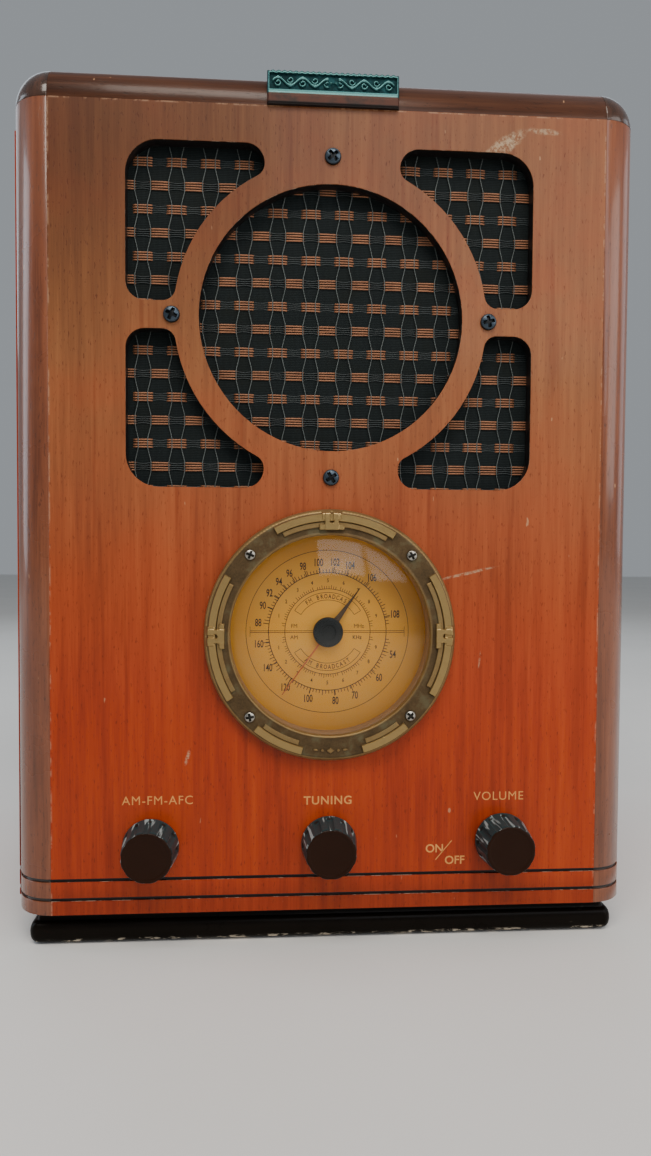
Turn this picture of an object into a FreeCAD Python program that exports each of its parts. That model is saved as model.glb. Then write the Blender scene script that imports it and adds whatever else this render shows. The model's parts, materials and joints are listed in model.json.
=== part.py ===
"""Tabletop radio with a wooden cabinet, a round dial and three knobs.

Frame: +Z up, +X to the right of a person facing the radio, the front faces -Y.
The origin is the centre of the footprint on the surface that the radio stands on.
All sizes are in millimetres. "Depth" values count backwards from the front plane.
"""
import FreeCAD, Part
import math
import os
import Sketcher
from FreeCAD import Placement, Rotation, Vector

DRIVING_SIZES = {
    # cabinet
    "panel_width": 206.0,
    "panel_height": 298.0,
    "panel_thick": 6.0,
    "cabinet_depth": 177.5,
    "knob_reach": 13.5,
    "edge_radius": 14.0,
    "plinth_height": 12.7,
    "pad_height": 0.8,
    "board_thick": 9.0,
    "rabbet": 6.0,
    "back_thick": 3.0,
    "overlay_thick": 1.3,
    "groove_width": 1.2,
    "groove_cut": 0.8,
    "groove_upper_drop": 285.0,
    "groove_lower_drop": 292.2,
    "badge_width": 48.4,
    "badge_reach": 2.0,
    # loudspeaker
    "speaker_drop": 76.4,
    "speaker_hole": 48.9,
    "ring_outer": 58.0,
    "bolt_circle": 58.7,
    "window_half_width": 75.35,
    "window_half_height": 62.7,
    "bar_half": 5.05,
    "bridge_half": 25.0,
    "cloth_thick": 0.6,
    # dial
    "dial_drop": 193.7,
    "bezel_outer": 46.8,
    "bezel_inner": 37.2,
    "bezel_reach": 6.0,
    "lens_reach": 6.8,
    "bezel_screw_circle": 42.2,
    "dial_hole": 38.4,
    "dial_face_depth": 12.0,
    "drum_radius": 27.0,
    "drum_depth": 17.0,
    "pointer_angle": 36.0,
    # controls
    "knob_drop": 272.5,
    "knob_spacing": 66.4,
    "knob_base": 10.3,
    "knob_face": 9.0,
    "shaft_radius": 3.0,
    "running_gap": 0.05,
    "chassis_depth": 28.0,
    "chassis_thick": 1.5,
}

DOC = FreeCAD.newDocument("tabletop_radio")
SHEET = DOC.addObject("Spreadsheet::Sheet", "sizes")
PIECES = []


class Size:
    """A number together with the spreadsheet expression that gives it."""

    def __init__(self, value, text):
        self.value = value
        self.text = text

    def __add__(self, other):
        other = as_size(other)
        return Size(self.value + other.value, f"({self.text} + {other.text})")

    def __sub__(self, other):
        other = as_size(other)
        return Size(self.value - other.value, f"({self.text} - {other.text})")

    def __mul__(self, other):
        other = as_size(other)
        return Size(self.value * other.value, f"({self.text} * {other.text})")

    def __truediv__(self, other):
        other = as_size(other)
        return Size(self.value / other.value, f"({self.text} / {other.text})")

    def __neg__(self):
        return Size(-self.value, f"(0 - {self.text})")

    __radd__ = __add__
    __rmul__ = __mul__

    def __rsub__(self, other):
        return as_size(other) - self


def as_size(value):
    """Return value as a Size, so that plain numbers mix with bound sizes."""
    if isinstance(value, Size):
        return value
    return Size(float(value), f"({float(value):.6g})")


def fill_sheet():
    """Write the driving sizes into the spreadsheet and return them by alias."""
    sizes = {}
    for row, (alias, value) in enumerate(DRIVING_SIZES.items(), start=1):
        SHEET.set(f"A{row}", alias)
        SHEET.set(f"B{row}", str(value))
        SHEET.setAlias(f"B{row}", alias)
        sizes[alias] = Size(value, f"sizes.{alias}")
    DOC.recompute()
    return sizes


S = fill_sheet()

# levels and places that follow from the driving sizes
PANEL_BASE = S["pad_height"] + S["plinth_height"]
SEAM = PANEL_BASE + S["panel_height"]
HALF_WIDTH = S["panel_width"] / 2
FRONT = (S["knob_reach"] - S["cabinet_depth"]) / 2
BACK = FRONT + S["cabinet_depth"]
POST_BACK = FRONT + S["edge_radius"]
FLOOR = PANEL_BASE + S["board_thick"]
SPEAKER_Z = SEAM - S["speaker_drop"]
DIAL_Z = SEAM - S["dial_drop"]
KNOB_Z = SEAM - S["knob_drop"]
PLATE_FRONT = FRONT + S["chassis_depth"]
PLATE_BACK = PLATE_FRONT + S["chassis_thick"]
RUNNING_BORE = S["shaft_radius"] + S["running_gap"]
BACK_SCREW_X = HALF_WIDTH + 3
BACK_SCREW_LEVELS = (16, 150, 286)
GLAND_X = -70
GLAND_Z = 50
GLAND_NECK = 5.0
GLAND_FLANGE = 7.0
GLAND_BORE = 3.1
COUNTER_BORE = 2.0
SCREW_HOLE = 2.1
BEZEL_SHANK = 1.2
BACK_SHANK = 1.6
BUSH_RADIUS = 4.5
OVERLAY_MARGIN = 4.0
GROOVE_DROPS = (S["groove_upper_drop"], S["groove_lower_drop"])
BOARD_FRONT = PLATE_BACK + 30
LAMP_RISE = 34.0
LAMP_HOLDER = 3.8
SLOT_COLUMNS = (-60, -20, 20, 60)
SLOT_HALF = 15.0
SLOT_TALL = 3.0
SLOT_ROWS = 8
SLOT_STEP = 12.0
ALONG_X = Rotation(Vector(0, 1, 0), 90)
ALONG_Y = Rotation(Vector(1, 0, 0), -90)
ALONG_Z = Rotation()


def bind(target, prop, value):
    """Bind a property to the spreadsheet through the expression of its size."""
    target.setExpression(prop, as_size(value).text)


def place(piece, spot, rotation=None):
    """Put a piece at a spot given by bound sizes, with an optional fixed rotation."""
    numbers = [as_size(value) for value in spot]
    piece.Placement = Placement(Vector(*[n.value for n in numbers]), rotation or Rotation())
    for axis, number in zip("xyz", numbers):
        piece.setExpression(f".Placement.Base.{axis}", number.text)


def piece_of(obj, label):
    """Register a document object as a finished piece under its label."""
    obj.Label = label
    PIECES.append(obj)
    return obj


def new_body(label, spot=(0, 0, 0), rotation=None):
    """Start a PartDesign body for one piece."""
    body = DOC.addObject("PartDesign::Body", f"{label}_body")
    place(body, spot, rotation)
    return piece_of(body, label)


def new_sketch(body, plane):
    """Attach a sketch to one of the body's own origin planes."""
    sketch = body.newObject("Sketcher::SketchObject", f"{body.Name}_sketch")
    support = [item for item in body.Origin.OriginFeatures if item.Role == plane]
    sketch.AttachmentSupport = [(support[0], "")]
    sketch.MapMode = "FlatFace"
    return sketch


def pin_point(sketch, edge, end, x, y):
    """Hold one end of an edge at (x, y), each coordinate bound to the spreadsheet."""
    for kind, axis, value in (("DistanceX", -2, as_size(x)), ("DistanceY", -1, as_size(y))):
        if abs(value.value) < 1e-9:
            sketch.addConstraint(Sketcher.Constraint("PointOnObject", edge, end, axis))
        else:
            index = sketch.addConstraint(
                Sketcher.Constraint(kind, -1, 1, edge, end, value.value))
            sketch.setExpression(f"Constraints[{index}]", value.text)


def add_outline(sketch, corners):
    """Draw a closed outline; a corner (x, y, mid_x, mid_y) is reached by an arc."""
    ends = [[as_size(value) for value in corner] for corner in corners]
    first = sketch.GeometryCount
    for index, corner in enumerate(ends):
        before = ends[index - 1]
        start = Vector(before[0].value, before[1].value, 0)
        stop = Vector(corner[0].value, corner[1].value, 0)
        if len(corner) == 4:
            middle = Vector(corner[2].value, corner[3].value, 0)
            if (middle - start).cross(stop - middle).z < 0:
                start, stop = stop, start
            edge = sketch.addGeometry(Part.Arc(start, middle, stop), False)
            radius = Part.Circle(start, middle, stop).Radius
            sketch.addConstraint(Sketcher.Constraint("Radius", edge, radius))
        else:
            sketch.addGeometry(Part.LineSegment(start, stop), False)
    count = len(ends)
    for index, corner in enumerate(ends):
        edge = first + index
        following = first + (index + 1) % count
        stop = Vector(corner[0].value, corner[1].value, 0)
        end = nearest_end(sketch, edge, stop)
        start = nearest_end(sketch, following, stop)
        sketch.addConstraint(Sketcher.Constraint("Coincident", edge, end, following, start))
        pin_point(sketch, edge, end, corner[0], corner[1])


def nearest_end(sketch, edge, spot):
    """Return 1 or 2, the end of an edge that lies at the spot."""
    curve = sketch.Geometry[edge]
    return 1 if (curve.StartPoint - spot).Length < (curve.EndPoint - spot).Length else 2


def add_circle(sketch, x, y, radius):
    """Draw a circle whose centre and radius follow the spreadsheet."""
    x, y, radius = as_size(x), as_size(y), as_size(radius)
    circle = Part.Circle(Vector(x.value, y.value, 0), Vector(0, 0, 1), radius.value)
    edge = sketch.addGeometry(circle, False)
    pin_point(sketch, edge, 3, x, y)
    index = sketch.addConstraint(Sketcher.Constraint("Radius", edge, radius.value))
    sketch.setExpression(f"Constraints[{index}]", radius.text)


def rectangle(x_low, y_low, x_high, y_high):
    """Return the four corners of a rectangle."""
    return [(x_low, y_low), (x_high, y_low), (x_high, y_high), (x_low, y_high)]


def pad(body, plane, corners, length, reverse=False, midplane=False):
    """Pad an outline drawn on one of the body's planes."""
    sketch = new_sketch(body, plane)
    add_outline(sketch, corners)
    feature = body.newObject("PartDesign::Pad", f"{body.Name}_pad")
    feature.Profile = sketch
    feature.Reversed = reverse
    feature.Midplane = midplane
    bind(feature, "Length", length)


def pocket(body, sketch, length=None):
    """Cut a sketch into the body, to a depth or right through."""
    feature = body.newObject("PartDesign::Pocket", f"{body.Name}_pocket")
    feature.Profile = sketch
    if length is None:
        feature.Type = "ThroughAll"
        feature.Midplane = True
    else:
        bind(feature, "Length", length)
    return feature


def turned(label, spot, corners, rotation=None, angle=360.0):
    """Turn a (radius, depth) outline about the body's Y axis."""
    body = new_body(label, spot, rotation)
    sketch = new_sketch(body, "XY_Plane")
    add_outline(sketch, corners)
    feature = body.newObject("PartDesign::Revolution", f"{label}_turn")
    feature.Profile = sketch
    feature.ReferenceAxis = (sketch, ["V_Axis"])
    feature.Angle = angle
    return body


def polar(body, feature, count):
    """Repeat a feature evenly about the body's Y axis."""
    axis = [item for item in body.Origin.OriginFeatures if item.Role == "Y_Axis"][0]
    pattern = body.newObject("PartDesign::PolarPattern", f"{body.Name}_pattern")
    pattern.Originals = [feature]
    pattern.Axis = (axis, [""])
    pattern.Angle = 360.0
    pattern.Occurrences = count
    body.Tip = pattern
    DOC.recompute()


def mirror(body, feature, plane):
    """Repeat a feature on the other side of one of the body's planes."""
    support = [item for item in body.Origin.OriginFeatures if item.Role == plane][0]
    pattern = body.newObject("PartDesign::Mirrored", f"{body.Name}_mirror")
    pattern.Originals = [feature]
    pattern.MirrorPlane = (support, [""])
    body.Tip = pattern
    DOC.recompute()


def box(name, low, high):
    """Make a Part box between two corners given by bound sizes."""
    solid = DOC.addObject("Part::Box", name)
    lows = [as_size(value) for value in low]
    highs = [as_size(value) for value in high]
    for prop, start, stop in zip(("Length", "Width", "Height"), lows, highs):
        bind(solid, prop, stop - start)
    place(solid, lows)
    return solid


def rod(name, spot, radius, length, rotation=None):
    """Make a Part cylinder that starts at a spot; it runs along +Y unless rotated."""
    solid = DOC.addObject("Part::Cylinder", name)
    bind(solid, "Radius", radius)
    bind(solid, "Height", length)
    place(solid, spot, rotation or ALONG_Y)
    return solid


def cut(label, base, tools):
    """Take tools away from a base and return the result."""
    result = base
    for index, tool in enumerate(tools):
        step = DOC.addObject("Part::Cut", f"{label}_cut_{index}")
        step.Base = result
        step.Tool = tool
        result = step
    return result


def fuse(label, shapes):
    """Join shapes into one solid or one group."""
    result = DOC.addObject("Part::MultiFuse", f"{label}_fuse")
    result.Shapes = shapes
    return result


# ---------------------------------------------------------------- cabinet

def edges_along_y(shape, spots, reach=0.6):
    """Name the edges parallel to Y whose middle lies near one of the (x, z) spots."""
    names = []
    for index, edge in enumerate(shape.Edges, start=1):
        ends = [vertex.Point for vertex in edge.Vertexes]
        if len(ends) != 2 or abs(ends[0].x - ends[1].x) + abs(ends[0].z - ends[1].z) > 0.01:
            continue
        for x, z in spots:
            if math.hypot(ends[0].x - x, ends[0].z - z) < reach:
                names.append(f"Edge{index}")
    return names


def round_window_corners(body, radius, spots):
    """Round the window corners that lie at the given (x, z) spots in all four windows."""
    DOC.recompute()
    mirrored = [(sx * x, sz * z) for x, z in spots for sx in (-1, 1) for sz in (-1, 1)]
    base = body.Tip
    fillet = body.newObject("PartDesign::Fillet", f"{body.Name}_rounding")
    fillet.Base = (base, edges_along_y(base.Shape, mirrored))
    fillet.Radius = radius
    body.Tip = fillet


def front_panel():
    """Front board: round speaker hole, four corner windows, dial hole, shaft and screw holes."""
    body = new_body("front_panel", (0, FRONT, SPEAKER_Z))
    top = S["speaker_drop"]
    base = top - S["panel_height"]
    pad(body, "XZ_Plane", rectangle(-HALF_WIDTH, base, HALF_WIDTH, top),
        S["panel_thick"], reverse=True)
    holes = new_sketch(body, "XZ_Plane")
    add_circle(holes, 0, 0, S["speaker_hole"])
    add_circle(holes, 0, top - S["dial_drop"], S["dial_hole"])
    for side in (-1, 0, 1):
        add_circle(holes, S["knob_spacing"] * side, top - S["knob_drop"], BUSH_RADIUS)
    speaker_screw_holes(holes)
    pocket(body, holes)
    pilots = new_sketch(body, "XZ_Plane")
    for x, z in diagonal_spots(S["bezel_screw_circle"]):
        add_circle(pilots, x, top - S["dial_drop"] + z, BEZEL_SHANK)
    pocket(body, pilots, S["panel_thick"] - 1)
    for drop in GROOVE_DROPS:
        groove = new_sketch(body, "XZ_Plane")
        level = top - drop
        add_outline(groove, rectangle(-HALF_WIDTH, level - S["groove_width"] / 2,
                                      HALF_WIDTH, level + S["groove_width"] / 2))
        pocket(body, groove, S["groove_cut"])
    ring, bar, bridge = S["ring_outer"], S["bar_half"], S["bridge_half"]
    tip_x = math.sqrt(ring.value ** 2 - bar.value ** 2)
    tip_z = math.sqrt(ring.value ** 2 - bridge.value ** 2)
    middle = math.radians(35)
    window = new_sketch(body, "XZ_Plane")
    add_outline(window, [
        (bridge, S["window_half_height"]),
        (S["window_half_width"], S["window_half_height"]),
        (S["window_half_width"], bar),
        (tip_x, bar),
        (bridge, tip_z, ring.value * math.cos(middle), ring.value * math.sin(middle)),
    ])
    opening = pocket(body, window)
    mirror(body, opening, "YZ_Plane")
    mirror(body, opening, "XY_Plane")
    last = new_sketch(body, "XZ_Plane")
    add_outline(last, [
        (-bridge, -S["window_half_height"]),
        (-S["window_half_width"], -S["window_half_height"]),
        (-S["window_half_width"], -bar),
        (-tip_x, -bar),
        (-bridge, -tip_z, -ring.value * math.cos(middle), -ring.value * math.sin(middle)),
    ])
    pocket(body, last)
    half_width = S["window_half_width"].value
    half_height = S["window_half_height"].value
    round_window_corners(body, 12.0, [(half_width, half_height)])
    round_window_corners(body, 7.0, [(half_width, bar.value), (bridge.value, half_height)])
    round_window_corners(body, 5.0, [(bridge.value, tip_z), (tip_x, bar.value)])


def speaker_screw_holes(sketch):
    """Draw the four loudspeaker screw holes about the sketch's origin."""
    for x, z in ((0, 1), (1, 0), (0, -1), (-1, 0)):
        add_circle(sketch, S["bolt_circle"] * x, S["bolt_circle"] * z, SCREW_HOLE)


def diagonal_spots(radius):
    """Return four spots on a circle, half way between the axes."""
    step = radius * math.cos(math.radians(45))
    return [(step * x, step * z) for x, z in ((1, 1), (-1, 1), (-1, -1), (1, -1))]


def groove_profile(inner, outer, base, top):
    """Outline from inner to outer with the two shallow grooves on its outer side."""
    half = S["groove_width"] / 2
    low = SEAM - S["groove_lower_drop"]
    high = SEAM - S["groove_upper_drop"]
    notch = outer - S["groove_cut"]
    return [(inner, base), (outer, base), (outer, low - half), (notch, low - half),
            (notch, low + half), (outer, low + half), (outer, high - half),
            (notch, high - half), (notch, high + half), (outer, high + half),
            (outer, top), (inner, top)]


def corner_post(side, turn):
    """Quarter-round upright between the front panel and a side board."""
    label = f"corner_post_{side}"
    sign = 1 if side == "right" else -1
    body = new_body(label, (HALF_WIDTH * sign, POST_BACK, 0), Rotation(Vector(0, 0, 1), turn))
    sketch = new_sketch(body, "XZ_Plane")
    add_outline(sketch, groove_profile(0, S["edge_radius"], PANEL_BASE, SEAM))
    feature = body.newObject("PartDesign::Revolution", f"{label}_turn")
    feature.Profile = sketch
    feature.ReferenceAxis = (sketch, ["V_Axis"])
    feature.Angle = 90.0


def quarter_round(label, spot, length, rotation):
    """Quarter-round moulding along its own local Z axis."""
    solid = DOC.addObject("Part::Cylinder", f"{label}_round")
    bind(solid, "Radius", S["edge_radius"])
    bind(solid, "Height", length)
    solid.Angle = 90.0
    place(solid, spot, rotation)
    return piece_of(solid, label)


def axes(x_axis, y_axis, z_axis):
    """Rotation that sends the local axes to the given directions."""
    return Rotation(Vector(*x_axis), Vector(*y_axis), Vector(*z_axis), "ZXY")


def top_mouldings():
    """Front rail, side rails and the two rounded corner blocks of the top edge."""
    depth = S["cabinet_depth"] - S["edge_radius"]
    quarter_round("top_front_rail", (-HALF_WIDTH, POST_BACK, SEAM), S["panel_width"],
                  axes((0, 0, 1), (0, -1, 0), (1, 0, 0)))
    quarter_round("top_side_rail_right", (HALF_WIDTH, POST_BACK, SEAM), depth,
                  axes((0, 0, 1), (1, 0, 0), (0, 1, 0)))
    quarter_round("top_side_rail_left", (-HALF_WIDTH, POST_BACK, SEAM), depth,
                  axes((-1, 0, 0), (0, 0, 1), (0, 1, 0)))
    for side, sign, turn in (("right", 1, -90), ("left", -1, 180)):
        ball = DOC.addObject("Part::Sphere", f"top_corner_{side}_ball")
        bind(ball, "Radius", S["edge_radius"])
        ball.Angle1 = 0
        ball.Angle2 = 90
        ball.Angle3 = 90
        place(ball, (HALF_WIDTH * sign, POST_BACK, SEAM), Rotation(Vector(0, 0, 1), turn))
        piece_of(ball, f"top_corner_{side}")


def side_board(side):
    """Side board with a rabbet for the back panel and the two shallow grooves."""
    sign = 1 if side == "right" else -1
    body = new_body(f"side_board_{side}", (0, 0, 0))
    inner = HALF_WIDTH * sign
    outer = (HALF_WIDTH + S["edge_radius"]) * sign
    notch = (HALF_WIDTH + S["rabbet"]) * sign
    groove_x = (HALF_WIDTH + S["edge_radius"] - S["groove_cut"]) * sign
    ledge = BACK - S["rabbet"]
    pad(body, "XY_Plane", [(inner, POST_BACK), (outer, POST_BACK), (outer, BACK),
                           (notch, BACK), (notch, ledge), (inner, ledge)], S["panel_height"])
    body.setExpression(".Placement.Base.z", PANEL_BASE.text)
    for drop in GROOVE_DROPS:
        cutter = body.newObject("PartDesign::SubtractiveBox", f"side_board_{side}_groove")
        level = S["panel_height"] - drop - S["groove_width"] / 2
        start = groove_x if sign > 0 else outer
        bind(cutter, "Length", S["groove_cut"])
        bind(cutter, "Width", S["cabinet_depth"])
        bind(cutter, "Height", S["groove_width"])
        corner = (start, POST_BACK, level)
        cutter.Placement = Placement(Vector(*[value.value for value in corner]), Rotation())
        for axis, value in zip("xyz", corner):
            cutter.setExpression(f".Placement.Base.{axis}", value.text)


def side_overlay(side):
    """Thin raised panel on a side board, with notches where the grooves run on."""
    sign = 1 if side == "right" else -1
    start = POST_BACK + 0.5
    end = BACK - OVERLAY_MARGIN
    outer = HALF_WIDTH + S["edge_radius"] + S["overlay_thick"]
    inner = HALF_WIDTH + S["edge_radius"]
    body = new_body(f"side_overlay_{side}", (0, end, 0))
    outline = groove_profile(inner, outer, PANEL_BASE + 2.5, SEAM - OVERLAY_MARGIN - 2)
    pad(body, "XZ_Plane", [(x * sign, z) for x, z in outline], end - start)


def boards():
    """Bottom board with its rabbet, and the plain top panel."""
    bottom = new_body("bottom_board", (0, 0, 0))
    behind_panel = FRONT + S["panel_thick"]
    ledge = BACK - S["rabbet"]
    pad(bottom, "YZ_Plane", [(behind_panel, PANEL_BASE), (BACK, PANEL_BASE),
                             (BACK, FLOOR - S["rabbet"]), (ledge, FLOOR - S["rabbet"]),
                             (ledge, FLOOR), (behind_panel, FLOOR)],
        S["panel_width"], midplane=True)
    top = box("top_board", (-HALF_WIDTH, POST_BACK, SEAM),
              (HALF_WIDTH, BACK, SEAM + S["edge_radius"]))
    piece_of(top, "top_panel")


def back_panel():
    """Hardboard back with rows of sound slots, six screw holes and the gland hole."""
    reach = HALF_WIDTH + S["rabbet"]
    base = FLOOR - S["rabbet"]
    body = new_body("back_panel", (0, BACK - S["rabbet"], 0))
    pad(body, "XZ_Plane", rectangle(-reach, base, reach, SEAM), S["back_thick"], reverse=True)
    holes = new_sketch(body, "XZ_Plane")
    for x in (-1, 1):
        for z in BACK_SCREW_LEVELS:
            add_circle(holes, BACK_SCREW_X * x, PANEL_BASE + z, BACK_SHANK)
    add_circle(holes, GLAND_X, GLAND_Z, GLAND_NECK)
    pocket(body, holes)
    slots = new_sketch(body, "XZ_Plane")
    level = SPEAKER_Z - 42
    for column in SLOT_COLUMNS:
        add_outline(slots, rectangle(column - SLOT_HALF, level, column + SLOT_HALF, level + SLOT_TALL))
    row = pocket(body, slots)
    rows = body.newObject("PartDesign::LinearPattern", "back_panel_slot_rows")
    rows.Originals = [row]
    rows.Direction = (slots, ["V_Axis"])
    rows.Length = SLOT_STEP * (SLOT_ROWS - 1)
    rows.Occurrences = SLOT_ROWS
    body.Tip = rows


def plinth():
    """Black base moulding: a narrow neck above a wider board with rounded edges."""
    inset, step = 4.5, 2.0
    half = HALF_WIDTH + S["edge_radius"] - inset
    start = FRONT + inset
    shoulder = S["pad_height"] + 8
    bead = box("plinth_bead", (-half, start, S["pad_height"]), (half, BACK - step, shoulder))
    rounded = DOC.addObject("Part::Fillet", "plinth_rounded")
    rounded.Base = bead
    DOC.recompute()
    uprights = []
    rims = []
    for index, edge in enumerate(bead.Shape.Edges, start=1):
        if abs(edge.BoundBox.ZLength) > 1:
            uprights.append((index, 8.0, 8.0))
        else:
            rims.append((index, 2.5, 2.5))
    rounded.Edges = uprights + rims
    neck = box("plinth_neck", (step - half, start + step, shoulder - step),
               (half - step, BACK - 2 * step, PANEL_BASE))
    piece_of(fuse("plinth", [rounded, neck]), "plinth")


def foot_pads():
    """Four felt pads that carry the radio."""
    pads = []
    radius, inset = 7.0, 22.0
    for x in (8 - HALF_WIDTH, HALF_WIDTH - 8):
        for y in (FRONT + inset, BACK - inset):
            pads.append(rod(f"pad_{len(pads)}", (x, y, 0), radius, S["pad_height"], ALONG_Z))
    piece_of(fuse("foot_pads", pads), "foot_pads")


def badge():
    """Cast plate on the front rail, hollowed behind to sit on the quarter-round."""
    half, tall, deep = S["badge_width"] / 2, 12.3, 6.0
    plate = box("badge_plate", (-half, FRONT - S["badge_reach"], SEAM),
                (half, FRONT + deep, SEAM + tall))
    rail = rod("badge_rail", (-half, POST_BACK, SEAM), S["edge_radius"], S["badge_width"], ALONG_X)
    piece_of(cut("badge", plate, [rail]), "badge")


# ------------------------------------------------------------ screws and nuts

def screw_group(label, spots, head, shank):
    """Cross-head screws along +Y; head and shank are (radius, start depth, end depth)."""
    screws = []
    for index, (x, z) in enumerate(spots):
        name = f"{label}_{index}"
        start = FRONT + head[1]
        solid = fuse(name, [
            rod(f"{name}_head", (x, start, z), head[0], head[2] - head[1]),
            rod(f"{name}_shank", (x, FRONT + shank[1], z), shank[0], shank[2] - shank[1]),
        ])
        arm, narrow, deep = head[0] * 0.6, 0.3, 0.7
        bars = [box(f"{name}_slot_{turn}", (x - wide, start, z - tall),
                    (x + wide, start + deep, z + tall))
                for turn, (wide, tall) in enumerate(((arm, narrow), (narrow, arm)))]
        screws.append(cut(name, solid, bars))
    piece_of(fuse(label, screws), label)


def nut_group(label, spots, corner_radius, bore, depth, thick):
    """Hexagon nuts along Y at one depth."""
    nuts = []
    for index, (x, z) in enumerate(spots):
        nut = DOC.addObject("Part::Prism", f"{label}_hexagon_{index}")
        nut.Polygon = 6
        bind(nut, "Circumradius", corner_radius)
        bind(nut, "Height", thick)
        place(nut, (x, FRONT + depth, z), ALONG_Y)
        hole = rod(f"{label}_bore_{index}", (x, FRONT + depth, z), bore, thick)
        nuts.append(cut(f"{label}_{index}", nut, [hole]))
    piece_of(fuse(label, nuts), label)


# ---------------------------------------------------------------- loudspeaker

def speaker_bolt_spots():
    """Places of the four loudspeaker screws as (x, z)."""
    reach = S["bolt_circle"]
    return [(0, SPEAKER_Z + reach), (reach, SPEAKER_Z), (0, SPEAKER_Z - reach), (-reach, SPEAKER_Z)]


def grille_cloth():
    """Woven cloth stretched over the back of the speaker hole and its windows."""
    body = new_body("grille_cloth", (0, FRONT + S["panel_thick"], SPEAKER_Z))
    wide = S["window_half_width"] + 6
    tall = S["window_half_height"] + 5
    pad(body, "XZ_Plane", rectangle(-wide, -tall, wide, tall), S["cloth_thick"], reverse=True)
    holes = new_sketch(body, "XZ_Plane")
    speaker_screw_holes(holes)
    pocket(body, holes)


def speaker():
    """Loudspeaker: steel basket, moving cone parts, flexible rings and magnet."""
    spot = (0, FRONT, SPEAKER_Z)
    seat = S["panel_thick"] + S["cloth_thick"]
    lip = seat + 1.5
    throat, flange, foot = 51.0, 65.0, 33.2
    ledge, ledge_radius = 30.5, 35.0
    plate, front, back, yoke = 35.5, 39.5, 50.0, 54.0
    coil, former, pole, gap, magnet = 12.4, 12.0, 11.6, 12.9, 30.0
    basket = turned("speaker_basket", spot, [
        (throat, seat), (flange, seat), (flange, lip), (throat + 1.2, lip), (foot, plate + 0.5),
        (foot, front), (gap, front), (gap, plate), (foot - 1.7, plate), (foot - 1.7, ledge),
        (ledge_radius, ledge), (throat, lip)])
    window = new_sketch(basket, "XZ_Plane")
    add_outline(window, rectangle(-former, 37.5, former, 47))
    polar(basket, pocket(basket, window), 4)
    holes = new_sketch(basket, "XZ_Plane")
    speaker_screw_holes(holes)
    pocket(basket, holes)
    fold, fold_end = 48.2, 45.3
    turned("speaker_surround", spot, [
        (throat, 7.2, fold, 8.9), (throat, 7.9), (fold_end, 9.0, fold, 9.6), (fold_end, 8.3)])
    turned("speaker_cone", spot, [(45, 8.2), (45, 9.0), (coil, 24.2), (coil, 23.0)])
    turned("speaker_spider", spot, [
        (coil + 0.3, ledge - 0.6), (ledge_radius, ledge - 0.6), (ledge_radius, ledge),
        (coil + 0.3, ledge)])
    turned("voice_coil", spot, [(former, 22.4), (coil, 22.4), (coil, 42), (former, 42)])
    cap, cap_middle = 14.2, 7.5
    turned("dust_cap", spot, [
        (0, 17.6), (cap, 21.4, cap_middle, 18.4), (cap, 22.0), (0, 18.3, cap_middle, 19.1)])
    turned("speaker_magnet", spot, [(13.5, front), (magnet, front), (magnet, back), (13.5, back)])
    turned("magnet_yoke", spot, [
        (0, plate), (pole, plate), (pole, back), (magnet, back), (magnet, yoke), (0, yoke)])
    spots = speaker_bolt_spots()
    screw_group("speaker_screws", spots, (3.0, -1.9, 0), (2.0, 0, 13))
    nut_group("speaker_nuts", spots, 4.0, 2.0, lip, 3.0)


# ---------------------------------------------------------------- dial

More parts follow.
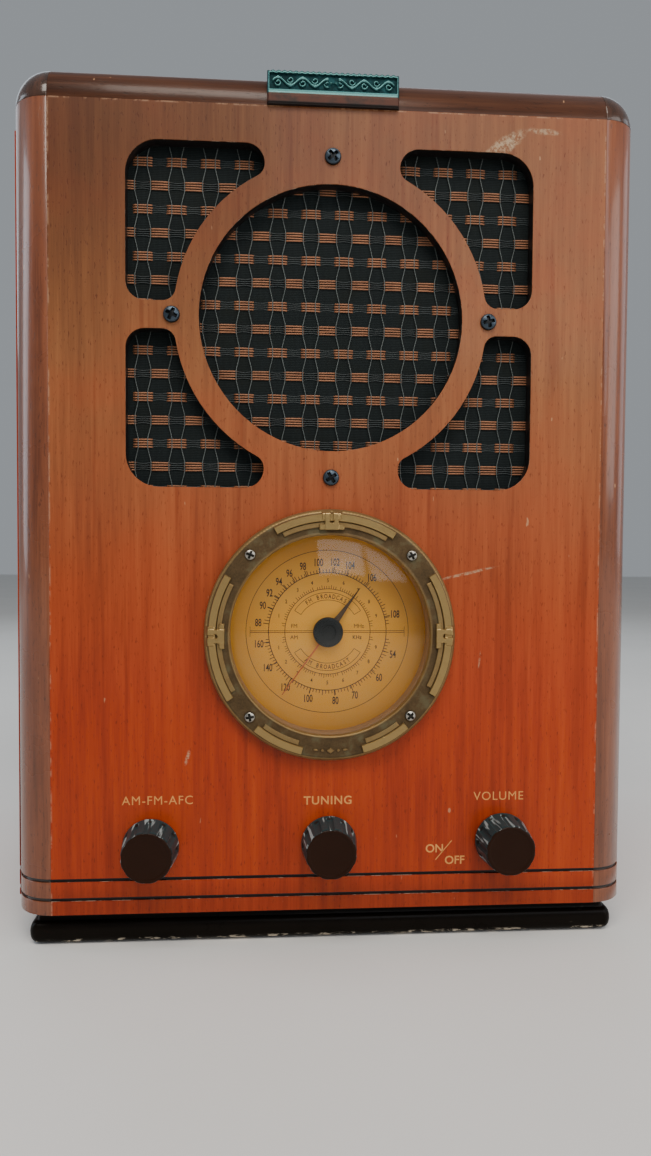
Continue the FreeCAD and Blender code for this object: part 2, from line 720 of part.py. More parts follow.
def dial():
    """Dial: cast bezel, domed lens, housing, printed face, pointer and its drive."""
    spot = (0, FRONT, DIAL_Z)
    outer, inner, reach = S["bezel_outer"], S["bezel_inner"], -S["bezel_reach"]
    hole, face = S["dial_hole"], S["dial_face_depth"]
    rebate, head_seat = 2.0, 4.8
    bezel = turned("dial_bezel", spot, [
        (hole, 0), (outer, 0), (outer, -3.0), (outer - 3.6, reach, outer - 1.1, reach + 0.9),
        (inner + 2.4, reach), (inner, reach + 1.8, inner + 0.6, reach + 0.7),
        (inner, -rebate), (hole, -rebate)])
    heads = new_sketch(bezel, "XZ_Plane")
    heads.AttachmentOffset = Placement(Vector(0, 0, head_seat), Rotation())
    shanks = new_sketch(bezel, "XZ_Plane")
    for x, z in diagonal_spots(S["bezel_screw_circle"]):
        add_circle(heads, x, z, COUNTER_BORE)
        add_circle(shanks, x, z, BEZEL_SHANK)
    recess = bezel.newObject("PartDesign::Pocket", "bezel_recess")
    recess.Profile = heads
    recess.Reversed = True
    recess.Length = 3.0
    pocket(bezel, shanks)
    screw_group("bezel_screws", [(x, DIAL_Z + z) for x, z in diagonal_spots(S["bezel_screw_circle"])],
                (COUNTER_BORE - 0.05, -6.2, -head_seat), (BEZEL_SHANK, -head_seat, 5.0))
    crown, edge = -S["lens_reach"], -0.4
    turned("dial_lens", spot, [
        (0, crown), (inner - 0.2, -2.2, 19, -5.66), (inner - 0.2, -1.9), (hole - 0.1, -1.9),
        (hole - 0.1, edge), (inner - 1.4, edge), (0, crown + 1.7, 18.5, -3.8)])
    shell, cavity, panel_back = 44.0, 42.0, S["panel_thick"]
    turned("dial_housing", spot, [
        (inner + 0.2, edge), (hole, edge), (hole, panel_back), (shell, panel_back),
        (shell, face + 1), (cavity, face + 1), (cavity, panel_back + 1), (inner + 0.2, panel_back + 1)])
    shaft = S["shaft_radius"]
    turned("dial_face", spot, [
        (shaft + 0.3, face), (cavity, face), (cavity, face + 1), (shaft + 0.3, face + 1)])
    hub, hub_front, hub_inside, hub_back = 5.8, 8.4, 8.9, 9.8
    turned("pointer_hub", spot, [
        (0, hub_front), (hub, hub_front), (hub, hub_back), (shaft, hub_back), (shaft, hub_inside),
        (0, hub_inside)])
    tilt = Rotation(Vector(0, 1, 0), S["pointer_angle"].value)
    needle = new_body("pointer", (0, FRONT + hub_back, DIAL_Z), tilt)
    pad(needle, "XZ_Plane", [(-0.5, -30), (0.5, -30), (1.0, -5), (4.4, -1.5), (4.4, 1.5),
                             (1.7, 4), (0.4, 21), (-0.4, 21), (-1.7, 4), (-4.4, 1.5),
                             (-4.4, -1.5), (-1.0, -5)], 0.6, reverse=True)
    bore = new_sketch(needle, "XZ_Plane")
    add_circle(bore, 0, 0, shaft)
    pocket(needle, bore)
    shaft_end = 38.0
    turned("dial_shaft", spot, [
        (0, hub_inside), (shaft, hub_inside), (shaft, shaft_end), (0, shaft_end)])
    rim, start = S["drum_radius"], S["drum_depth"]
    turned("dial_drum", spot, [
        (shaft, start - 1), (7, start - 1), (7, start + 1.6), (rim - 3, start + 1.6),
        (rim - 3, start), (rim, start), (rim, start + 1.7), (rim - 1, start + 2),
        (rim - 1, start + 3), (rim, start + 3.3), (rim, start + 5), (rim - 3, start + 5),
        (rim - 3, start + 3.4), (7, start + 3.4), (7, start + 7), (shaft, start + 7)])
    half = 13
    case = fuse("capacitor_case", [
        box("capacitor_box", (-half, PLATE_BACK, DIAL_Z - half), (half, PLATE_BACK + 20, DIAL_Z + half)),
        rod("capacitor_bush", (0, PLATE_FRONT - 3, DIAL_Z), BUSH_RADIUS, 6)])
    bore = rod("capacitor_bore", (0, PLATE_FRONT - 3, DIAL_Z), RUNNING_BORE, 13.5)
    piece_of(cut("tuning_capacitor", case, [bore]), "tuning_capacitor")
    lamp_z = DIAL_Z + LAMP_RISE
    bulb = DOC.addObject("Part::Sphere", "lamp_bulb")
    bulb.Radius = 2.6
    place(bulb, (0, FRONT + 16.4, lamp_z))
    holder = rod("lamp_holder", (0, FRONT + 18, lamp_z), LAMP_HOLDER, 14)
    piece_of(fuse("dial_lamp", [bulb, holder]), "dial_lamp")


def dial_cord():
    """Closed cord loop round the drum and the tuning spindle, clear of both grooves."""
    cord = 0.4
    gap = 0.3
    large = S["drum_radius"].value - 1 + gap + cord
    small = S["shaft_radius"].value - 0.4 + gap + cord
    high = DIAL_Z.value
    low = KNOB_Z.value
    level = (FRONT + S["drum_depth"] + 2.5).value
    lean = math.asin((large - small) / (high - low))
    side_x, side_z = math.cos(lean), -math.sin(lean)

    def spot(centre, radius, x, z):
        return Vector(radius * x, level, centre + radius * z)

    right_top = spot(high, large, side_x, side_z)
    left_top = spot(high, large, -side_x, side_z)
    right_low = spot(low, small, side_x, side_z)
    left_low = spot(low, small, -side_x, side_z)
    path = Part.Wire([
        Part.Arc(right_top, spot(high, large, 0, 1), left_top).toShape(),
        Part.LineSegment(left_top, left_low).toShape(),
        Part.Arc(left_low, spot(low, small, 0, -1), right_low).toShape(),
        Part.LineSegment(right_low, right_top).toShape(),
    ])
    along = (right_top - right_low).normalize()
    section = Part.Wire(Part.Circle(right_top, along, cord).toShape())
    feature = DOC.addObject("Part::Feature", "dial_cord_loop")
    feature.Shape = path.makePipeShell([section], True, False)
    piece_of(feature, "dial_cord")


# ---------------------------------------------------------------- controls

def knob(label, x):
    """Fluted tapered knob with a thin skirt and a blind bore for its shaft."""
    tip, base, face = -S["knob_reach"], S["knob_base"], S["knob_face"]
    shaft = S["shaft_radius"]
    flutes, flute_radius, flute_start, flute_stop = 12, 1.7, 1.2, 2.6
    body = turned(label, (x, FRONT, KNOB_Z), [
        (0, tip), (face - 0.7, tip), (face, tip + 0.7), (base - 0.6, -2.4), (base, -2.0),
        (base, -0.5), (shaft, -0.5), (shaft, tip + 3), (0, tip + 3)])
    scallop = new_sketch(body, "XZ_Plane")
    scallop.AttachmentOffset = Placement(Vector(0, 0, S["knob_reach"].value - flute_start), Rotation())
    add_circle(scallop, 0, face + 1.45, flute_radius)
    polar(body, pocket(body, scallop, S["knob_reach"] - flute_start - flute_stop), flutes)


def control(body_label, shaft_label, x, radius, length):
    """Panel control: a round case with a threaded bush, and its turning shaft."""
    back = S["chassis_depth"] + S["chassis_thick"]
    shaft, start, stop = S["shaft_radius"], 3 - S["knob_reach"], 38
    bush_front, bore_end = 22, stop + 0.5
    turned(body_label, (x, FRONT, KNOB_Z), [
        (RUNNING_BORE, bush_front), (BUSH_RADIUS, bush_front), (BUSH_RADIUS, back), (radius, back),
        (radius, back + length), (0, back + length), (0, bore_end), (RUNNING_BORE, bore_end)])
    turned(shaft_label, (x, FRONT, KNOB_Z), [(0, start), (shaft, start), (shaft, stop), (0, stop)])


def controls():
    """Three knobs with their shafts, cases, bush and nuts."""
    reach = S["knob_spacing"]
    shaft = S["shaft_radius"]
    knob("knob_band", -reach)
    knob("knob_tuning", 0)
    knob("knob_volume", reach)
    control("band_switch", "band_shaft", -reach, 12, 13)
    control("volume_control", "volume_shaft", reach, 10, 11)
    groove = shaft - 0.4
    turned("tuning_spindle", (0, FRONT, KNOB_Z), [
        (0, 3 - S["knob_reach"]), (shaft, 3 - S["knob_reach"]), (shaft, 18.5), (groove, 18.5),
        (groove, 20.5), (shaft, 20.5), (shaft, 36), (0, 36)])
    turned("spindle_bush", (0, FRONT, KNOB_Z), [
        (RUNNING_BORE, 22), (BUSH_RADIUS, 22), (BUSH_RADIUS, 29.5), (6.5, 29.5), (6.5, 37), (0, 37),
        (0, 36.3), (RUNNING_BORE, 36.3)])
    thick = 2.4
    nut_group("shaft_nuts", [(-reach, KNOB_Z), (0, KNOB_Z), (reach, KNOB_Z)], 7.0, BUSH_RADIUS,
              S["chassis_depth"] - thick, thick)


# ---------------------------------------------------------------- chassis

def chassis():
    """Bent steel chassis, circuit board, transformer, aerial rod and cable gland."""
    sheet = S["chassis_thick"]
    body = new_body("chassis_plate", (0, 0, 0))
    end = PLATE_BACK + 125
    pad(body, "YZ_Plane", [
        (PLATE_FRONT, FLOOR), (end, FLOOR), (end, FLOOR + sheet), (PLATE_BACK, FLOOR + sheet),
        (PLATE_BACK, DIAL_Z + 42), (PLATE_FRONT, DIAL_Z + 42)], 172, midplane=True)
    holes = new_sketch(body, "XZ_Plane")
    for side in (-1, 0, 1):
        add_circle(holes, S["knob_spacing"] * side, KNOB_Z, BUSH_RADIUS)
    add_circle(holes, 0, DIAL_Z, BUSH_RADIUS)
    add_circle(holes, 0, DIAL_Z + LAMP_RISE, LAMP_HOLDER)
    pocket(body, holes)
    main_board(FLOOR + sheet)
    transformer(FLOOR + sheet)
    aerial()
    turned("mains_gland", (GLAND_X, BACK - S["rabbet"], GLAND_Z), [
        (GLAND_BORE, -2), (GLAND_FLANGE, -2), (GLAND_FLANGE, 0), (GLAND_NECK, 0),
        (GLAND_NECK, S["back_thick"]), (GLAND_FLANGE, S["back_thick"]), (GLAND_FLANGE, 4.4),
        (6, 5.5), (GLAND_BORE, 5.5)])


def main_board(deck):
    """Circuit board on four posts, with coil cans, two reservoirs and a heat sink."""
    board_y = BOARD_FRONT
    top = deck + 7
    parts = [box("board_sheet", (-80, board_y, deck + 6), (20, board_y + 85, deck + 7.6))]
    for x in (-74, 14):
        for y in (board_y + 6, board_y + 79):
            parts.append(rod(f"board_post_{len(parts)}", (x, y, deck), 3, 7, ALONG_Z))
    can, can_tall = 10, 14
    for x in (-66, -48, -30):
        for y in (board_y + 20, board_y + 45):
            parts.append(box(f"coil_can_{len(parts)}", (x, y, top), (x + can, y + can, top + can_tall)))
    for y in (board_y + 16, board_y + 40):
        parts.append(rod(f"reservoir_{len(parts)}", (0, y, top), 6.5, 26, ALONG_Z))
    parts.append(box("heat_sink", (-24, board_y + 66, top), (6, board_y + 70, top + 25)))
    piece_of(fuse("main_board", parts), "main_board")


def transformer(deck):
    """Mains transformer: a core with two windows round the coil's leg."""
    x, y, z = 55, BOARD_FRONT + 40, deck + 20
    wide, deep, tall, window = 24, 11, 20, 12
    frame = box("core_frame", (x - wide, y - deep, z - tall), (x + wide, y + deep, z + tall))
    windows = [box(f"core_window_{index}", (x + low, y - deep, z - window),
                   (x + low + 8, y + deep, z + window))
               for index, low in enumerate((-16, 8))]
    piece_of(cut("transformer_core", frame, windows), "transformer_core")
    bobbin = box("coil_block", (x - 16, y - 18, z - window), (x + 16, y + 18, z + window))
    leg = box("coil_leg", (x - 8, y - deep, z - window), (x + 8, y + deep, z + window))
    piece_of(cut("transformer_coil", bobbin, [leg]), "transformer_coil")


def aerial():
    """Ferrite rod with its winding, held under the top panel by two clips."""
    y, z, radius = FRONT + 120, SEAM - 16, 5
    piece_of(rod("aerial_rod", (-70, y, z), radius, 140, ALONG_X), "ferrite_rod")
    start, length = -52, 42
    winding = rod("aerial_winding", (start, y, z), radius + 1.2, length, ALONG_X)
    hollow = rod("aerial_hollow", (start, y, z), radius, length, ALONG_X)
    piece_of(cut("rod_coil", winding, [hollow]), "rod_coil")
    clips = []
    half = 8
    for side, x in (("left", -64), ("right", 56)):
        block = box(f"clip_block_{side}", (x, y - half, z - half), (x + half, y + half, SEAM))
        hole = rod(f"clip_hole_{side}", (x, y, z), radius, half, ALONG_X)
        clips.append(cut(f"clip_{side}", block, [hole]))
    piece_of(fuse("rod_clips", clips), "rod_clips")


def back_screws():
    """Six small screws that hold the back panel to the side boards."""
    start = S["cabinet_depth"] - S["rabbet"] + S["back_thick"]
    spots = [(BACK_SCREW_X * x, PANEL_BASE + z) for x in (-1, 1) for z in BACK_SCREW_LEVELS]
    screws = []
    for index, (x, z) in enumerate(spots):
        head = rod(f"back_screw_head_{index}", (x, FRONT + start, z), 2.6, 1.6)
        shank = rod(f"back_screw_shank_{index}", (x, FRONT + start - 3, z), BACK_SHANK, 3)
        screws.append(fuse(f"back_screw_{index}", [head, shank]))
    piece_of(fuse("back_screws", screws), "back_screws")


def check_and_write():
    """Stop on any failed object, then write each piece to its own STEP file."""
    DOC.recompute()
    for obj in DOC.Objects:
        if "Invalid" in obj.State or "Error" in obj.State:
            raise RuntimeError(f"{obj.Name} did not compute: {obj.State}")
    os.makedirs("parts", exist_ok=True)
    for old in os.listdir("parts"):
        if old.endswith(".step"):
            os.remove(os.path.join("parts", old))
    for piece in PIECES:
        shape = piece.Shape
        if shape.isNull() or not shape.isValid():
            raise RuntimeError(f"{piece.Label} has no valid shape")
        shape.exportStep(f"parts/{piece.Label}.step")
        print(f"{piece.Label}: {len(shape.Solids)} solid(s), {shape.Volume:.0f} mm3")
    print(f"{len(PIECES)} nodes")


front_panel()
corner_post("right", -90)
corner_post("left", 180)
top_mouldings()
for hand in ("right", "left"):
    side_board(hand)
    side_overlay(hand)
boards()
back_panel()
back_screws()
plinth()
foot_pads()
badge()
grille_cloth()
speaker()
dial()
dial_cord()
controls()
chassis()
check_and_write()
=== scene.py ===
"""Looks of the tabletop radio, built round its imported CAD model.

Lengths are metres in the CAD model's own frame: +Z up, the front faces -Y.
Small sizes are written in millimetres and multiplied by MM.
"""

import json
import logging
import math
import random
from dataclasses import dataclass
from enum import Enum
from typing import Callable, Optional, Sequence, Union

import bpy
from mathutils import Euler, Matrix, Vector


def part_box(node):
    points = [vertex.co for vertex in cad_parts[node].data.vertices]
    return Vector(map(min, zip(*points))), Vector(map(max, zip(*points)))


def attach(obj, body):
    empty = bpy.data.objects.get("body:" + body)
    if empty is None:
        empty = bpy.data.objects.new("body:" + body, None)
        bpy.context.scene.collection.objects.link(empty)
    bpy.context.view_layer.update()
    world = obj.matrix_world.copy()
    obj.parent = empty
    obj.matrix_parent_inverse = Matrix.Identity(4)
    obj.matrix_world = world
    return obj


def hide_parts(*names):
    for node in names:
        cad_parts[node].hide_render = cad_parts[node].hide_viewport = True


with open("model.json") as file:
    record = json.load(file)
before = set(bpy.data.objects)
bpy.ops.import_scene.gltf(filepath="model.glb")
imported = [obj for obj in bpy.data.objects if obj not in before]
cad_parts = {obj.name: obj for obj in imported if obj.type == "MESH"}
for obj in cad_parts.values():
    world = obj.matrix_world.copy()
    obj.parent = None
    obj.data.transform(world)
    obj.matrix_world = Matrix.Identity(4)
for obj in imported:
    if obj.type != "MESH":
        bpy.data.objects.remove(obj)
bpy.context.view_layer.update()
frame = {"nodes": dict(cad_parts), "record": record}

log = logging.getLogger("radio")
MM = 0.001
Colour = tuple[float, float, float]
Setting = Union["Value", float, int, tuple]
NODE_SLOTS = {part["node"]: part["material_slot"] for part in frame["record"]["subparts"]}
DRESSED: set[str] = set()


# ------------------------------------------------------------------ places

def low(node: str) -> Vector:
    """Lowest corner of a CAD node."""
    return Vector(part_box(node)[0])


def high(node: str) -> Vector:
    """Highest corner of a CAD node."""
    return Vector(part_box(node)[1])


def middle(node: str) -> Vector:
    """Centre of a CAD node's box."""
    return (low(node) + high(node)) / 2


FRONT_Y = low("front_panel").y
SEAM_Z = high("front_panel").z
PANEL_BASE_Z = low("front_panel").z
HALF_PANEL = high("front_panel").x
GROOVE_HEIGHTS = (PANEL_BASE_Z + 5.8 * MM, PANEL_BASE_Z + 13.0 * MM)


@dataclass(frozen=True)
class Scuff:
    """A worn patch of the front panel: its place, half sizes, slant in degrees and strength."""

    x: float
    z: float
    half_long: float
    half_wide: float
    slant: float
    strength: float


SCUFFS = (Scuff(63.0, 299.5, 12.5, 3.4, 36, 0.60), Scuff(79.0, 306.0, 8.0, 1.4, -3, 0.45),
          Scuff(52.0, 141.0, 14.0, 0.7, 13, 0.50), Scuff(-53.0, 72.0, 3.5, 0.9, 76, 0.60),
          Scuff(57.0, 108.0, 4.0, 0.45, 84, 0.45))


# ------------------------------------------------------------------ shader arithmetic

class Value:
    """A node socket that takes part in Python arithmetic."""

    def __init__(self, graph: "Graph", socket: bpy.types.NodeSocket) -> None:
        """Wrap a socket.

        Args:
            graph: the graph that the socket is in.
            socket: the socket.
        """
        self.graph = graph
        self.socket = socket

    def _math(self, operation: str, first: Setting, second: Setting = 0.0) -> "Value":
        """Add one Math node for two operands."""
        return self.graph.node("ShaderNodeMath", {"operation": operation}, {0: first, 1: second})

    def __add__(self, other: Setting) -> "Value":
        """Sum."""
        return self._math("ADD", self, other)

    def __sub__(self, other: Setting) -> "Value":
        """Difference."""
        return self._math("SUBTRACT", self, other)

    def __rsub__(self, other: Setting) -> "Value":
        """Difference with the wrapped value on the right."""
        return self._math("SUBTRACT", other, self)

    def __mul__(self, other: Setting) -> "Value":
        """Product."""
        return self._math("MULTIPLY", self, other)

    def __truediv__(self, other: Setting) -> "Value":
        """Quotient."""
        return self._math("DIVIDE", self, other)

    def __pow__(self, other: Setting) -> "Value":
        """Power."""
        return self._math("POWER", self, other)

    __radd__ = __add__
    __rmul__ = __mul__

    def size(self) -> "Value":
        """Distance from zero."""
        return self._math("ABSOLUTE", self)

    def larger(self, other: Setting) -> "Value":
        """The larger of two values."""
        return self._math("MAXIMUM", self, other)

    def wave(self, period: float) -> "Value":
        """Sine of the value with the given period, from 0 to 1."""
        angle = self * (2 * math.pi / period)
        return self._math("SINE", angle) * 0.5 + 0.5

    def rise(self, start: float, stop: float) -> "Value":
        """Smooth step from 0 to 1; start may be above stop.

        Args:
            start: value at which the step leaves 0.
            stop: value at which it reaches 1.

        Returns:
            The step.
        """
        if start > stop:
            return 1.0 - self.rise(stop, start)
        return self.graph.node("ShaderNodeMapRange", {"interpolation_type": "SMOOTHSTEP"},
                               {0: self, 1: start, 2: stop, 3: 0.0, 4: 1.0})


class Graph:
    """The node tree of one material."""

    def __init__(self, name: str) -> None:
        """Make an empty material.

        Args:
            name: the material's name.
        """
        self.material = bpy.data.materials.new(name)
        self.material.use_nodes = True
        self.tree = self.material.node_tree
        self.tree.nodes.clear()
        self.output = self.tree.nodes.new("ShaderNodeOutputMaterial")

    def node(self, kind: str, settings: Optional[dict] = None, inputs: Optional[dict] = None,
             output: int = 0) -> Value:
        """Add one node.

        Args:
            kind: the node's type.
            settings: attributes set before the sockets; "stops" fills a colour ramp.
            inputs: values or links by socket name or number.
            output: number of the output socket to return.

        Returns:
            The chosen output, ready for arithmetic.
        """
        made = self.tree.nodes.new(kind)
        for key, value in (settings or {}).items():
            if key == "stops":
                fill_ramp(made.color_ramp, value)
            else:
                setattr(made, key, value)
        for key, value in (inputs or {}).items():
            if isinstance(value, Value):
                self.tree.links.new(value.socket, made.inputs[key])
            else:
                made.inputs[key].default_value = value
        return Value(self, made.outputs[output])

    def place(self) -> Value:
        """Position in the frame of the piece, in metres."""
        return self.node("ShaderNodeTexCoord", output=3)

    def axis(self, number: int) -> Value:
        """One coordinate of the position: 0, 1 or 2."""
        return self.node("ShaderNodeSeparateXYZ", inputs={0: self.place()}, output=number)

    def stretch(self, factors: Sequence[float], shift: float = 0.0) -> Value:
        """Position with each axis scaled, then moved.

        Args:
            factors: scaling of the three axes.
            shift: what is added on every axis.

        Returns:
            The new position.
        """
        scaled = self.node("ShaderNodeVectorMath", {"operation": "MULTIPLY"},
                           {0: self.place(), 1: tuple(factors)})
        return self.node("ShaderNodeVectorMath", {"operation": "ADD"},
                         {0: scaled, 1: (shift, shift, shift)})

    def noise(self, vector: Value, scale: float, detail: float = 3.0, rough: float = 0.55) -> Value:
        """Noise value about 0.5 with features of about 1 / scale metres."""
        return self.node("ShaderNodeTexNoise", None,
                         {"Vector": vector, "Scale": scale, "Detail": detail, "Roughness": rough})

    def specks(self, scale: float, amount: float, factors: Sequence[float] = (1, 1, 1)) -> Value:
        """Mask of small separate spots, a larger amount giving more of them."""
        field = self.noise(self.stretch(factors, 3.1), scale, 2.0, 0.5)
        return field.rise(0.72 - amount, 0.76 - amount)

    def mix(self, factor: Setting, first: Setting, second: Setting, blend: str = "MIX") -> Value:
        """Colour mix of two colours."""
        return self.node("ShaderNodeMix", {"data_type": "RGBA", "blend_type": blend},
                         {0: factor, 6: opaque(first), 7: opaque(second)}, output=2)

    def ramp(self, factor: Value, stops: Sequence[tuple[float, Colour]]) -> Value:
        """Colour ramp through the stops."""
        return self.node("ShaderNodeValToRGB", {"stops": stops}, {0: factor})

    def bump(self, height: Value, depth: float, strength: float = 1.0) -> Value:
        """Normal bent by a height field whose unit step is depth metres."""
        return self.node("ShaderNodeBump", None,
                         {"Height": height, "Distance": depth, "Strength": strength})

    def surface(self, **inputs: Setting) -> bpy.types.Material:
        """Finish the material with one Principled shader.

        Args:
            inputs: socket values, named as the shader's sockets with _ for spaces.

        Returns:
            The finished material.
        """
        sockets = {key.replace("_", " "): opaque(value) for key, value in inputs.items()}
        shader = self.node("ShaderNodeBsdfPrincipled", None, sockets)
        self.tree.links.new(shader.socket, self.output.inputs["Surface"])
        return self.material


def opaque(value: Setting) -> Setting:
    """Add full alpha to a plain colour.

    Args:
        value: a colour, or any other setting, which is left alone.

    Returns:
        The setting.
    """
    if isinstance(value, tuple) and len(value) == 3:
        return (*value, 1.0)
    return value


def fill_ramp(ramp: bpy.types.ColorRamp, stops: Sequence[tuple[float, Colour]]) -> None:
    """Set the stops of a colour ramp.

    Args:
        ramp: the ramp, new.
        stops: position and colour of each stop.
    """
    while len(ramp.elements) < len(stops):
        ramp.elements.new(0.5)
    for element, (position, colour) in zip(ramp.elements, stops):
        element.position = position
        element.color = opaque(colour)


# ------------------------------------------------------------------ finishes

GROOVE_BLACK: Colour = (0.012, 0.006, 0.004)
OPENING_BLACK: Colour = (0.010, 0.008, 0.008)
FILLER_SPOT: Colour = (0.52, 0.30, 0.16)
WORN_EDGE: Colour = (0.46, 0.28, 0.17)
BARE_RIM: Colour = (0.62, 0.45, 0.32)
SCUFFED: Colour = (0.46, 0.36, 0.22)


class Along(Enum):
    """Direction of the wood's grain, as the scaling that draws noise out into streaks."""

    UP = (1.0, 1.0, 0.035)
    ACROSS = (0.035, 1.0, 1.0)
    BACK = (1.0, 0.035, 1.0)


class Finish:
    """Base of all finishes: each makes one material, once."""

    made: dict = {}

    def material(self) -> bpy.types.Material:
        """Make the material of this finish on first use.

        Returns:
            The material.
        """
        if self not in Finish.made:
            Finish.made[self] = self.paint(Graph(self.name))
        return Finish.made[self]

    def paint(self, graph: Graph) -> bpy.types.Material:
        """Build the node tree."""
        raise NotImplementedError


@dataclass(frozen=True)
class Veneer(Finish):
    """Lacquered hardwood veneer with streaks, pores and worn edges."""

    name: str
    along: Along = Along.UP
    dark: Colour = (0.205, 0.017, 0.002)
    mid: Colour = (0.300, 0.029, 0.003)
    light: Colour = (0.375, 0.045, 0.005)
    lacquer: float = 0.08
    shine: float = 0.20
    roughness: float = 0.36
    shift: float = 0.0
    # Tones of painted light for the upper part of the front panel; other boards leave it empty.
    faded: tuple = ()

    def paint(self, graph: Graph) -> bpy.types.Material:
        """Build the node tree.

        Args:
            graph: the new material's empty tree.

        Returns:
            The finished material.
        """
        drawn = graph.stretch(self.along.value, self.shift)
        figure = graph.noise(drawn, 42, 3.0, 0.6)
        streaks = graph.noise(drawn, 330, 5.0, 0.65)
        fibre = graph.noise(drawn, 1500, 3.0, 0.6)
        short = [min(1.0, factor * 7.0) for factor in self.along.value]
        pores = graph.noise(graph.stretch(short, 7.7), 1500, 2.0, 0.5).rise(0.61, 0.70)
        tone = figure * 0.28 + streaks * 0.50 + fibre * 0.22
        stops = (0.38, 0.50, 0.64)
        colour = graph.ramp(tone, list(zip(stops, (self.dark, self.mid, self.light))))
        # Painted light: up the front panel the wood turns into paler, greyer tones, which stand for the
        # cooler light falling on its upper part.
        if self.faded:
            pale = graph.ramp(tone, list(zip(stops, self.faded)))
            upwards = graph.axis(2).rise(PANEL_BASE_Z + 60 * MM, PANEL_BASE_Z + 215 * MM)
            colour = graph.mix(upwards, colour, pale)
        veins = graph.noise(graph.stretch(self.along.value, 9.3), 170, 3.0, 0.6).rise(0.57, 0.66)
        colour = graph.mix(veins * 0.28, colour, tuple(part * 0.50 for part in self.dark))
        colour = graph.mix(pores * 0.50, colour, tuple(part * 0.30 for part in self.dark))
        smudge = graph.noise(graph.place(), 26, 4.0, 0.6)
        colour = graph.mix(smudge.rise(0.35, 0.75) * 0.22, colour, self.light)
        colour = graph.mix(graph.specks(380, -0.03, (1.0, 1.0, 0.35)) * 0.5, colour, FILLER_SPOT)
        for line in GROOVE_HEIGHTS:
            inside = (graph.axis(2) - line).size().rise(0.66 * MM, 0.54 * MM)
            colour = graph.mix(inside, colour, GROOVE_BLACK)
        if self.faded:
            colour = self.panel_marks(graph, colour)
        height = fibre * 0.5 + streaks * 0.3 - pores * 0.9
        return graph.surface(Base_Color=colour, Roughness=smudge * 0.16 + (self.roughness - 0.06),
                             Normal=graph.bump(height, 0.035 * MM, 0.7), Coat_Weight=self.lacquer,
                             Coat_Roughness=0.10, Specular_IOR_Level=self.shine)

    def panel_marks(self, graph: Graph, colour: Value) -> Value:
        """Paint shade on the panel's top, darken its foot, blacken its openings and rub its edges and scuffs
        pale.

        Args:
            graph: the material's tree.
            colour: colour of the clean wood.

        Returns:
            The marked colour.
        """
        x, z = graph.axis(0), graph.axis(2)
        # Painted shade: darker towards the top, more on the left than on the right.
        top = z.rise(SEAM_Z - 120 * MM, SEAM_Z - 5 * MM)
        shade = 1.0 - top * (0.60 - x.rise(-95 * MM, 100 * MM) * 0.44)
        # Darker below the grooves, at the panel's foot.
        shade = shade * (1.0 - z.rise(GROOVE_HEIGHTS[1], GROOVE_HEIGHTS[0]) * 0.22)
        colour = graph.mix(1.0, colour, shade, "MULTIPLY")
        ragged = graph.noise(graph.place(), 240, 5.0, 0.7)
        edge = x.size().rise(HALF_PANEL - 0.8 * MM, HALF_PANEL - 0.2 * MM)
        edge = edge.larger(z.rise(SEAM_Z - 0.8 * MM, SEAM_Z - 0.2 * MM))
        colour = graph.mix(edge * ragged.rise(0.47, 0.60) * 0.36, colour, WORN_EDGE)
        deep = graph.axis(1).rise(FRONT_Y + 0.30 * MM, FRONT_Y + 0.55 * MM)
        rim = graph.axis(1).rise(FRONT_Y + 0.02 * MM, FRONT_Y + 0.14 * MM) * (1.0 - deep)
        colour = graph.mix(rim * ragged.rise(0.50, 0.60) * 0.8, colour, BARE_RIM)
        crumbs = graph.noise(graph.place(), 620, 5.0, 0.75).rise(0.40, 0.60)
        for scuff in SCUFFS:
            turn = math.radians(scuff.slant)
            cosine, sine = math.cos(turn), math.sin(turn)
            right, above = x - scuff.x * MM, z - scuff.z * MM
            along = (right * cosine + above * sine) / (scuff.half_long * MM)
            across = (above * cosine - right * sine) / (scuff.half_wide * MM) + ragged * 1.2 - 0.6
            within = (along * along + across * across).rise(1.0, 0.15)
            colour = graph.mix(within * crumbs * scuff.strength, colour, SCUFFED)
        return graph.mix(deep, colour, OPENING_BLACK)


@dataclass(frozen=True)
class BareWood(Finish):
    """Unfinished board or pressed hardboard."""

    name: str
    colour: Colour = (0.42, 0.27, 0.14)
    along: Along = Along.ACROSS
    grain: float = 0.5

    def paint(self, graph: Graph) -> bpy.types.Material:
        """Build the node tree.

        Args:
            graph: the new material's empty tree.

        Returns:
            The finished material.
        """
        streaks = graph.noise(graph.stretch(self.along.value), 260, 5.0, 0.7)
        fluff = graph.noise(graph.place(), 1400, 4.0, 0.7)
        tone = streaks * self.grain + fluff * (1.0 - self.grain)
        dark = tuple(part * 0.62 for part in self.colour)
        colour = graph.ramp(tone, [(0.32, dark), (0.68, self.colour)])
        return graph.surface(Base_Color=colour, Roughness=fluff * 0.2 + 0.62,
                             Normal=graph.bump(fluff, 0.06 * MM, 0.8))


